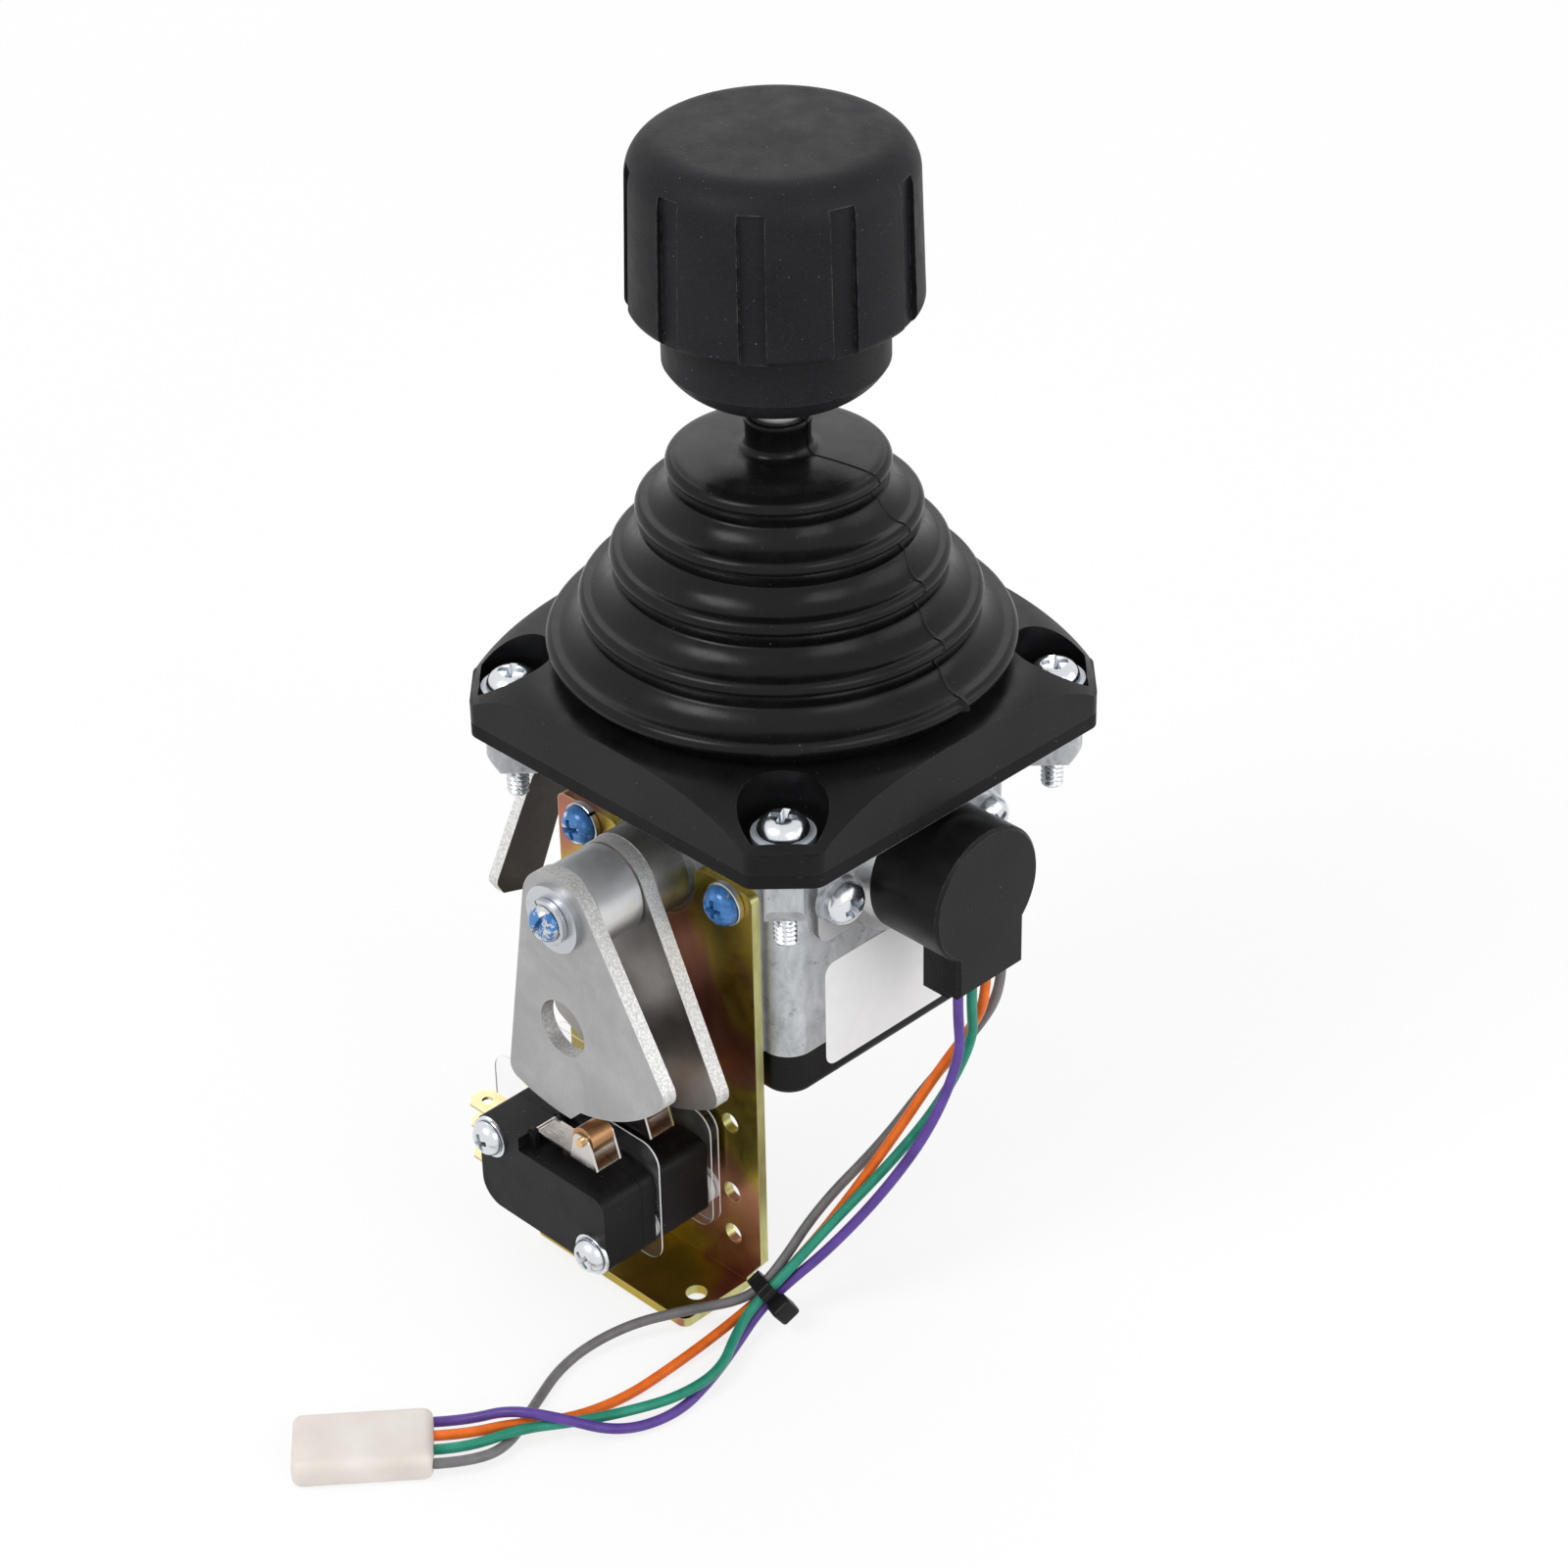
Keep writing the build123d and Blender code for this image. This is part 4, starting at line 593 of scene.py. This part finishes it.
def arcPoints(start, middle, end, count):
    # points on the circle through three (radius, height) points, without the last
    (ax, ay), (bx, by), (cx, cy) = start, middle, end
    d = 2 * (ax * (by - cy) + bx * (cy - ay) + cx * (ay - by))
    a2, b2, c2 = ax * ax + ay * ay, bx * bx + by * by, cx * cx + cy * cy
    ux = (a2 * (by - cy) + b2 * (cy - ay) + c2 * (ay - by)) / d
    uy = (a2 * (cx - bx) + b2 * (ax - cx) + c2 * (bx - ax)) / d
    first = atan2(ay - uy, ax - ux)
    mid = atan2(by - uy, bx - ux)
    last = atan2(cy - uy, cx - ux)
    turn = (last - first) % (2 * pi)
    if (mid - first) % (2 * pi) > turn:
        turn -= 2 * pi
    radius = hypot(ax - ux, ay - uy)
    angles = [first + turn * k / count for k in range(count)]
    return [(ux + radius * cos(angle), uy + radius * sin(angle)) for angle in angles]


def joinTo(name, pieces, material):
    # puts several meshes together in one plain mesh
    bm = bmesh.new()
    for piece in pieces:
        bm.from_mesh(piece.data)
    data = meshFrom(name, bm)
    data.materials.append(material)
    for piece in pieces:
        bpy.data.objects.remove(piece)
    return addObject(name, data)


# boot
bootSizes = {"lips": [(34.9, 14.6), (29.8, 21.3), (25.0, 28.4), (21.0, 35.9), (16.4, 42.9)],
             "grooveDepth": 1.9, "grooveDrop": 1.5, "swell": -0.5, "splitFold": 2, "sides": 144,
             "lipRadius": 1.2, "beadStart": -110, "beadTurn": 198, "beadSteps": 16, "neck": 4.8,
             "neckTop": 50.8, "neckRoot": 45.4, "bore": 3.8, "seat": 11.6, "foot": 32.3, "wall": 5.0,
             "seamHeight": 0.2, "seamWidth": 0.14,
             "seamReach": [0.0, 0.08, 0.2, 0.4, 0.75, 1.1, 1.6, 2.6, 4.0],
             "seamTurns": [(10.0, 2.5), (14.6, 2.5), (21.3, 6.0), (28.4, 10.0), (35.9, 17.0), (42.9, 16.0),
                           (60.0, 8.0)],
             "nubHeight": 1.1, "nubWidth": 0.5, "nubTall": 0.7}


def valueAt(stops, height):
    # reads between (height, value) stops
    for (z0, v0), (z1, v1) in zip(stops, stops[1:]):
        if z0 <= height <= z1:
            return v0 + (v1 - v0) * (height - z0) / (z1 - z0)
    return stops[-1][1]


def seamLift(reach, radius, height):
    # low parting ridge, and the moulding nub on the lowest lip
    s = bootSizes
    lift = s["seamHeight"] * exp(-(reach / s["seamWidth"]) ** 2)
    base, level = s["lips"][0]
    if radius > base - 1.2:
        away = (reach / s["nubWidth"]) ** 2
        lift += s["nubHeight"] * exp(-away - ((height - level - 0.5) / s["nubTall"]) ** 2)
    return lift


def beadPoints(radius, level):
    # rolled lip: a round bead from its underside over to its top
    s = bootSizes
    r = s["lipRadius"]
    centre = (radius + 0.05 - r, level + 0.45)
    steps = s["beadSteps"]
    turns = [radians(s["beadStart"] + s["beadTurn"] * k / steps) for k in range(steps + 1)]
    return [(centre[0] + r * cos(turn), centre[1] + r * sin(turn)) for turn in turns]


def bootOutline():
    # outer profile from the seat up, with a marked split in one groove
    s = bootSizes
    seat, foot, neck, rise, top = (s[key] for key in ("seat", "foot", "neck", "neckRoot", "neckTop"))
    base, level = s["lips"][0]
    outer = [(base - s["wall"], seat), (foot - 0.2, seat), (foot, seat + 0.2), (foot, level - 1.7)]
    outer += arcPoints((foot, level - 1.7), (foot + 0.25, level - 1.25), (foot + 0.8, level - 1.06), 4)[1:]
    split = None
    for index, (radius, height) in enumerate(s["lips"]):
        outer += beadPoints(radius, height)
        if index + 1 < len(s["lips"]):
            nextRadius, nextHeight = s["lips"][index + 1]
            groove = (nextRadius - s["grooveDepth"], nextHeight - s["grooveDrop"])
            low, high = (radius - 1.75, height + 1.68), (groove[0] + 1.5, groove[1] - 0.75)
            run = (high[0] - low[0], high[1] - low[1])
            size = hypot(*run)
            middle = ((low[0] + high[0]) / 2 + s["swell"] * run[1] / size,
                      (low[1] + high[1]) / 2 - s["swell"] * run[0] / size)
            bottom = (groove[0] + 0.05, groove[1] + 0.45)
            outer += arcPoints(low, middle, high, 12)
            outer += arcPoints(high, (groove[0] + 0.38, groove[1] - 0.12), bottom, 9)
            if index == s["splitFold"]:
                split = len(outer) - 2
            outer.append(bottom)
    radius, height = s["lips"][-1]
    root = (neck + 1.3, rise - 0.1)
    outer += arcPoints((radius - 1.5, height + 1.86), (radius - 6.0, height + 2.3), root, 10)
    outer += arcPoints(root, (neck + 0.35, rise + 0.4), (neck, rise + 1.3), 5)
    rim = neck + 0.15
    outer += [(neck, rise + 1.3), (neck, top - 1.3), (rim, top - 1.15), (rim, top - 0.5)]
    outer += arcPoints((rim, top - 0.5), (neck - 0.02, top - 0.12), (neck - 0.4, top), 4)
    outer += [(neck - 0.4, top), (s["bore"], top)]
    return outer, split


def innerRadiusAt(height):
    s = bootSizes
    second, last = s["lips"][1], s["lips"][-1]
    return valueAt([(s["seat"], s["lips"][0][0] - s["wall"]),
                    (second[1] - s["grooveDrop"] - 0.6, second[0] - s["grooveDepth"] - 1.5),
                    (last[1] - s["grooveDrop"] - 0.4, last[0] - s["grooveDepth"] - 1.5),
                    (s["neckRoot"] - 1.8, s["bore"]), (s["neckTop"], s["bore"])], height)


def turnBoot(bm, outer, inner):
    # the columns bunch at the parting line and follow it round from fold to fold
    s = bootSizes
    step = 2 * pi / s["sides"]
    reaches = [-reach for reach in s["seamReach"][:0:-1]] + s["seamReach"]
    bunch, farAway = 4, 99
    plainColumns = [(step * k, farAway) for k in range(bunch, s["sides"] - bunch + 1)]
    rows = []
    for points, skin in ((outer, True), (inner, False)):
        for radius, height in points:
            squeeze = min(1 / radius, (bunch - 0.1) * step / reaches[-1])
            row = []
            for angle, reach in [(reach * squeeze, reach) for reach in reaches] + plainColumns:
                lift = seamLift(reach, radius, height) if skin else 0
                turn = radians(valueAt(s["seamTurns"], height)) + angle
                grown, raised = radius + lift, height + 0.7 * min(lift, s["seamHeight"])
                row.append(bm.verts.new(mm(grown * cos(turn), grown * sin(turn), raised)))
            rows.append(row)
    for low, high in zip(rows, rows[1:] + rows[:1]):
        bridge(bm, low, high)


def makeBoot():
    outer, split = bootOutline()
    splitHeight = outer[split][1]
    s = bootSizes
    stopHeights = [s["seat"], 14.5, 19.2, 22.5, splitHeight, 33.0, 37.0, 41.0, 43.6, 47.0, 49.0, s["neckTop"]]
    pieces = []
    for name, part, low, high in (("bootLower", outer[:split + 1], s["seat"], splitHeight),
                                  ("bootUpper", outer[split:], splitHeight, s["neckTop"])):
        inner = [(innerRadiusAt(z), z) for z in stopHeights if low <= z <= high][::-1]
        kept = []
        for point in part + inner:
            if not kept or dist(point, kept[-1]) > 0.001:
                kept.append(point)
        if dist(kept[0], kept[-1]) < 0.001:
            kept.pop()
        skin = [point for point in kept if point in part]
        lining = [point for point in kept if point not in part]
        bm = bmesh.new()
        turnBoot(bm, skin, lining)
        piece = finishMesh(name, bm, finish["boot"], 60)
        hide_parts("boot")
        pieces.append(piece)
    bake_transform(pieces[0])
    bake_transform(pieces[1])
    return splitHeight


splitAt = makeBoot()
print("boot turned, split at", round(splitAt, 2), "mm")


# screws and lock washers
up, front, side = (0, 0, 1), (0, -1, 0), (1, 0, 0)
square = 28.575
scatterScale = 1.0
threadSizes = {"pitch": 0.794, "depth": 0.42, "sides": 24, "rowsPerTurn": 4}
screwSets = {
    "cornerScrews": {"head": (3.9, 2.6), "thread": (1.75, 13.0, 6.05), "finish": "zinc", "facing": up,
                     "spots": [(square, -square, 5.7, 0.5), (square, square, 5.7, 0.95),
                               (-square, square, 5.7, 0.2), (-square, -square, 5.7, 0.62)],
                     "slot": "zinc_steel", "node": "corner_screws", "body": "housing"},
    "bracketScrews": {"head": (3.2, 2.2), "thread": (1.7, 0.0, 4.6), "finish": "blue", "facing": front,
                      "spots": [(-15.25, -28.2, -13.5, 0.35), (15.25, -28.2, -13.5, 0.1)],
                      "slot": "blue_mark", "node": "bracket_screws", "body": "housing"},
    "switchScrews": {"head": (2.85, 2.0), "thread": (1.43, 0.0, 29.0), "finish": "zinc", "facing": front,
                     "spots": [(-13.5, -51.4, -58.7, 0.3), (8.7, -51.4, -69.0, 0.75)],
                     "slot": "zinc_steel", "node": "switch_screws", "body": "housing"},
    "potScrews": {"head": (3.55, 2.3), "thread": (1.7, 0.0, 4.2), "finish": "zinc", "facing": side,
                  "spots": [(27.5, -15.5, -13.5, 0.25), (27.5, 15.5, -13.5, 0.6)],
                  "slot": "zinc_steel", "node": "pot_screws", "body": "housing"},
    "camScrew": {"head": (2.9, 1.8), "thread": (1.45, 0.0, 2.1), "finish": "blueThin", "facing": front,
                 "spots": [(0, -49.1, -13.5, 1.1)], "slotted": True,
                 "slot": "blue_mark", "node": "cam_bolt", "body": "yoke"},
}
lockSets = {
    "bracketLocks": {"size": (1.78, 3.5, 1.1), "node": "bracket_lock_washers", "body": "housing",
                     "spots": [(-15.25, -27.1, -13.5, 0.9), (15.25, -27.1, -13.5, 2.6)]},
    "camLock": {"size": (1.55, 3.6, 1.1), "node": "cam_lock_washer", "body": "yoke",
                "spots": [(0, -48.0, -13.5, 2.2)]},
}


def headMesh(name, radius, height, material, slotted):
    # pan head with one wide slot, or with two crossed wings that narrow downwards round a cone
    edge = height * 0.12
    crown = radius * 0.36
    profile = [(0, 0), (radius - 0.12, 0), (radius, 0.12), (radius, edge)]
    profile += arcPoints((radius, edge), (radius * 0.82, height * 0.66), (crown, height), 9)[1:]
    profile += [(crown, height), (0, height)]
    bm = bmesh.new()
    turnSolid(bm, [(r / 1000, z / 1000) for r, z in profile], 48)
    head = finishMesh(name, bm, material, 40)
    above, half, reach = 0.3, radius * 0.13, radius * 0.6
    if slotted:
        wings, depth = [0.0], height * 0.42
        topReach, lowReach, lowHalf = radius * 1.2, radius * 1.2, half * 0.9
    else:
        wings, depth = [0.0, pi / 2], height * 0.8
        topReach, lowReach, lowHalf = reach, reach * 0.35, half * 0.5
    cutter = bmesh.new()
    for wing in wings:
        corners = []
        for z, x, y in ((height + above, topReach, half * 1.2), (height - depth, lowReach, lowHalf)):
            for sx, sy in ((-1, -1), (1, -1), (1, 1), (-1, 1)):
                point = mm(sx * x, sy * y, z)
                point.rotate(Matrix.Rotation(wing, 3, "Z"))
                corners.append(cutter.verts.new(point))
        for quad in ((0, 1, 2, 3), (7, 6, 5, 4), (0, 4, 5, 1), (1, 5, 6, 2), (2, 6, 7, 3), (3, 7, 4, 0)):
            cutter.faces.new([corners[k] for k in quad])
    if not slotted:
        bmesh.ops.create_cone(cutter, cap_ends=True, segments=12, radius1=radius * 0.08 / 1000,
                              radius2=radius * 0.22 / 1000, depth=(depth + above) / 1000,
                              matrix=Matrix.Translation(mm(0, 0, height + (above - depth) / 2)))
    bmesh.ops.recalc_face_normals(cutter, faces=cutter.faces)
    tool = addObject(name + "Cutter", meshFrom(name + "Cutter", cutter))
    modifier = head.modifiers.new("recess", "BOOLEAN")
    modifier.operation = "DIFFERENCE"
    modifier.solver = "EXACT"
    modifier.use_self = True
    modifier.object = tool
    makePlain(head)
    bpy.data.objects.remove(tool)
    return head


def plainThread(name, radius, start, length, material):
    # ridged rod below the head, closed at both ends, ridges tilted like a real helix
    pitch, depth, sides = threadSizes["pitch"], threadSizes["depth"], threadSizes["sides"]
    rows = int(length / (pitch / threadSizes["rowsPerTurn"]))
    bm = bmesh.new()
    grid = []
    for row in range(rows + 1):
        z = -start - length * row / rows
        ring = []
        for step in range(sides):
            angle = 2 * pi * step / sides
            phase = (z / pitch + step / sides) % 1.0
            ridge = 1 - abs(2 * phase - 1)
            r = radius - depth * (1 - min(1, ridge * 1.3))
            if row == rows:
                r = radius - depth
            ring.append(bm.verts.new(mm(r * cos(angle), r * sin(angle), z)))
        grid.append(ring)
    for low, high in zip(grid, grid[1:]):
        bridge(bm, low, high)
    bm.faces.new(grid[0])
    bm.faces.new(grid[-1][::-1])
    return finishMesh(name, bm, material, 60)


def lockWasherMesh(name, inner, outer, thickness, material):
    # split spring washer on the XY plane, its two ends a little apart and out of level
    sides = 40
    gap = radians(9)
    section = ((inner, 0.05), (outer - 0.1, 0.0), (outer, 0.1), (outer, thickness - 0.1),
               (outer - 0.1, thickness), (inner, thickness - 0.05))
    bm = bmesh.new()
    rings = []
    for step in range(sides + 1):
        angle = gap / 2 + (2 * pi - gap) * step / sides
        lift = thickness * 0.12 * (step / sides - 0.5)
        rings.append([bm.verts.new(mm(r * cos(angle), r * sin(angle),
                                      min(max(z + lift, 0.0), thickness))) for r, z in section])
    for low, high in zip(rings, rings[1:]):
        bridge(bm, low, high)
    bm.faces.new(rings[0])
    bm.faces.new(rings[-1][::-1])
    return finishMesh(name, bm, material, 40)


def scatterTree(name, material):
    # Geometry Nodes: a template on each point, turned to the point's own facing and spin, then made real
    tree = bpy.data.node_groups.new(name, "GeometryNodeTree")
    for label, way, kind in (("Geometry", "INPUT", "Geometry"), ("Template", "INPUT", "Object"),
                             ("Scale", "INPUT", "Float"), ("Geometry", "OUTPUT", "Geometry")):
        tree.interface.new_socket(label, in_out=way, socket_type="NodeSocket" + kind)
    add = tree.nodes.new
    inlet, outlet = add("NodeGroupInput"), add("NodeGroupOutput")
    template = add("GeometryNodeObjectInfo")
    template.transform_space = "ORIGINAL"
    template.inputs["As Instance"].default_value = True
    points = add("GeometryNodeMeshToPoints")
    place = add("GeometryNodeInstanceOnPoints")
    facing, spin = add("GeometryNodeInputNamedAttribute"), add("GeometryNodeInputNamedAttribute")
    for box, label, kind in ((facing, "facing", "FLOAT_VECTOR"), (spin, "spin", "FLOAT")):
        box.data_type = kind
        box.inputs["Name"].default_value = label
    aim = add("FunctionNodeAlignRotationToVector")
    aim.axis = "Z"
    turn = add("FunctionNodeAxisAngleToRotation")
    turn.inputs["Axis"].default_value = (0, 0, 1)
    local = add("FunctionNodeRotateRotation")
    local.rotation_space = "LOCAL"
    real = add("GeometryNodeRealizeInstances")
    dress = add("GeometryNodeSetMaterial")
    dress.inputs["Material"].default_value = material
    for giver, output, taker, entry in (
            (inlet, "Geometry", points, "Mesh"), (points, "Points", place, "Points"),
            (inlet, "Template", template, "Object"), (template, "Geometry", place, "Instance"),
            (facing, "Attribute", aim, "Vector"), (spin, "Attribute", turn, "Angle"),
            (aim, "Rotation", local, "Rotation"), (turn, "Rotation", local, "Rotate By"),
            (local, "Rotation", place, "Rotation"), (inlet, "Scale", place, "Scale"),
            (place, "Instances", real, "Geometry"), (real, "Geometry", dress, "Geometry"),
            (dress, "Geometry", outlet, "Geometry")):
        tree.links.new(giver.outputs[output], taker.inputs[entry])
    return tree


def scatter(name, template, facing, spots, material, body):
    # spots are (x, y, z, spin) in mm and radians; gives one plain mesh that rides on a body
    data = bpy.data.meshes.new(name)
    data.from_pydata([tuple(mm(x, y, z)) for x, y, z, _ in spots], [], [])
    directions = data.attributes.new("facing", "FLOAT_VECTOR", "POINT")
    directions.data.foreach_set("vector", list(facing) * len(spots))
    spins = data.attributes.new("spin", "FLOAT", "POINT")
    spins.data.foreach_set("value", [turn for _, _, _, turn in spots])
    piece = addObject(name, data)
    tree = scatterTree(name + "Tree", material)
    modifier = piece.modifiers.new("repeat", "NODES")
    modifier.node_group = tree
    sockets = {item.name: item.identifier for item in tree.interface.items_tree if item.in_out == "INPUT"}
    modifier[sockets["Template"]] = template
    modifier[sockets["Scale"]] = scatterScale
    makePlain(piece)
    bpy.data.objects.remove(template)
    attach(piece, body)
    return piece


for name, s in screwSets.items():
    material = finish[s["finish"]]
    head = headMesh(name + "Head", *s["head"], material, s.get("slotted", False))
    rod = plainThread(name + "Rod", *s["thread"], material)
    template = joinTo(name + "Template", [head, rod], material)
    piece = scatter(name, template, s["facing"], s["spots"], material, s["body"])
    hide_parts(s["node"])
for name, s in lockSets.items():
    template = lockWasherMesh(name + "Template", *s["size"], finish["washer"])
    piece = scatter(name, template, front, s["spots"], finish["washer"], s["body"])
    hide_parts(s["node"])
print("screws and lock washers set")


# label
labelSizes = {"face": 24.5, "left": -16.6, "right": 17.4, "top": -26.0, "bottom": -44.6, "corner": 2.0,
              "thickness": 0.12, "lift": 0.005, "cornerSteps": 8}


def makeLabel():
    s = labelSizes
    bm = bmesh.new()
    left, right = s["left"] + s["corner"], s["right"] - s["corner"]
    bottom, top = s["bottom"] + s["corner"], s["top"] - s["corner"]
    outline = []
    for cy, cz, first in ((right, top, 0), (left, top, 90), (left, bottom, 180), (right, bottom, 270)):
        for step in range(s["cornerSteps"] + 1):
            angle = radians(first + 90 * step / s["cornerSteps"])
            outline.append((cy + s["corner"] * cos(angle), cz + s["corner"] * sin(angle)))
    my, mz = (sum(values) / len(outline) for values in zip(*outline))
    back = [bm.verts.new(mm(s["face"] + s["lift"], y, z)) for y, z in outline]
    rim = [bm.verts.new(mm(s["face"] + s["thickness"] * 0.7, y, z)) for y, z in outline]
    inset = [bm.verts.new(mm(s["face"] + s["thickness"], my + (y - my) * 0.985, mz + (z - mz) * 0.975))
             for y, z in outline]
    bridge(bm, back, rim)
    bridge(bm, rim, inset)
    bm.faces.new(back[::-1])
    bm.faces.new(inset)
    piece = finishMesh("blankLabel", bm, finish["label"], 20)
    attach(piece, "housing")


makeLabel()
print("label laid")


# tie and connector
def boxMesh(bm, place, size, bevel):
    made = bmesh.ops.create_cube(bm, size=1.0, matrix=place @ Matrix.Diagonal((*(s / 1000 for s in size), 1)))
    edges = list({edge for vert in made["verts"] for edge in vert.link_edges})
    bmesh.ops.bevel(bm, geom=edges, offset=bevel / 1000, segments=5, profile=0.5, affect="EDGES")


# head and tail are (place, size, bevel) of a box on the strap
tieSizes = {"centre": (24.5, -30.0, -80.0), "axis": (-2.6, -8.0, -6.0), "inner": 1.72, "wall": 1.0,
            "width": 2.4, "squareness": 0.42, "tooth": 0.09, "steps": 64,
            "head": ((3.6, -1.5, 0), (2.8, 3.6, 3.4), 0.6), "tail": ((3.7, -3.1, 0), (1.0, 0.9, 2.2), 0.15)}


def makeTie():
    # toothed strap in a rounded square round the bundle, with a square head and a trimmed tail
    s = tieSizes
    axis = Vector(s["axis"]).normalized()
    across = -Vector((axis.y, -axis.x, 0)).normalized()
    turned = Matrix((across, -across.cross(axis), axis)).transposed().to_4x4()
    place = Matrix.Translation(mm(*s["centre"])) @ turned
    inner, half = s["inner"], s["width"] / 2
    bm = bmesh.new()
    rings = []
    for step in range(s["steps"]):
        angle = 2 * pi * step / s["steps"]
        ux, uy = (copysign(abs(part) ** s["squareness"], part)
                  for part in (cos(angle), sin(angle)))
        outer = inner + s["wall"] - (s["tooth"] if step % 2 else 0.0)
        rings.append([bm.verts.new(place @ mm(ux * scale, uy * scale, z))
                      for scale, z in ((inner, -half), (outer, -half), (outer, half), (inner, half))])
    for low, high in zip(rings, rings[1:] + rings[:1]):
        bridge(bm, low, high)
    for spot, size, bevel in (s["head"], s["tail"]):
        boxMesh(bm, place @ Matrix.Translation(mm(*spot)), size, bevel)
    piece = finishMesh("cableTie", bm, finish["tie"], 30)
    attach(piece, "housing")
    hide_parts("cable_tie")


connectorSizes = {"size": (20.8, 12.0, 4.8), "corner": 1.5, "along": (0.656, 0.755, 0),
                  "end": (10.2, -85.2, -83.6)}


def makeConnector():
    # local x runs along the wires, towards them
    s = connectorSizes
    along, up = Vector(s["along"]).normalized(), Vector((0, 0, 1))
    place = Matrix.Translation(mm(*s["end"])) @ Matrix((along, up.cross(along), up)).transposed().to_4x4()
    bm = bmesh.new()
    boxMesh(bm, place @ Matrix.Translation(mm(-s["size"][0] / 2, 0, 0)), s["size"], s["corner"])
    piece = finishMesh("connectorShell", bm, finish["nylon"], 30)
    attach(piece, "housing")
    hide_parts("connector")
    return piece


makeTie()
connector = makeConnector()
print("tie and connector made")


# stage and light
stageSizes = {"half": 4.0, "level": -0.0861, "whiteShare": 0.8}


def makeStage():
    data = bpy.data.meshes.new("floor")
    half, z = stageSizes["half"], stageSizes["level"]
    corners = [(-half, -half, z), (half, -half, z), (half, half, z), (-half, half, z)]
    data.from_pydata(corners, [], [(0, 1, 2, 3)])
    floor = addObject("floor", data)
    mat, tree, shader, coord = startMaterial("paleFloor")
    tone = blendColour(tree, patches(tree, coord, (6, 2, 0.4)), (0.90, 0.90, 0.90), (0.93, 0.93, 0.93))
    tree.links.new(tone, shader.inputs["Base Color"])
    setInputs(shader, {"Roughness": 0.8, "Specular IOR Level": 0.1})
    # camera, metal and film see it near white, with the object's shadow left in
    white = tree.nodes.new("ShaderNodeEmission")
    share = sum2(tree, paleRays(tree), stageSizes["whiteShare"], "MULTIPLY")
    showMix(tree, share, shader.outputs["BSDF"], white.outputs[0])
    data.materials.append(mat)


def makeLamp(name, place, size, power):
    data = bpy.data.lights.new(name, "AREA")
    data.shape = "RECTANGLE"
    data.size, data.size_y = size
    data.energy = power
    lamp = addObject(name, data)
    lamp.location = place
    lamp.rotation_euler = (-Vector(place)).to_track_quat("-Z", "Y").to_euler()


makeStage()
lampSizes = {"key": 5.5, "fill": 2.2, "rim": 1.8, "back": 2.3, "world": 0.7}
makeLamp("keyLamp", (-0.15, -0.85, 0.9), (0.5, 0.45), lampSizes["key"])
makeLamp("fillLamp", (0.95, -0.15, 0.55), (0.5, 0.5), lampSizes["fill"])
makeLamp("rimLamp", (0.8, 0.65, 0.3), (0.7, 0.6), lampSizes["rim"])
makeLamp("backLamp", (-0.72, 0.70, 0.80), (0.9, 0.9), lampSizes["back"])
world = bpy.data.worlds.new("studio")
bpy.context.scene.world = world
world.use_nodes = True
background = world.node_tree.nodes["Background"]
background.inputs["Color"].default_value = (1, 1, 1, 1)
strength = levels(world.node_tree, paleRays(world.node_tree), 0, 1, lampSizes["world"], 1.0)
world.node_tree.links.new(strength, background.inputs["Strength"])
bpy.context.scene.view_settings.view_transform = "Standard"
print("stage and lamps set")
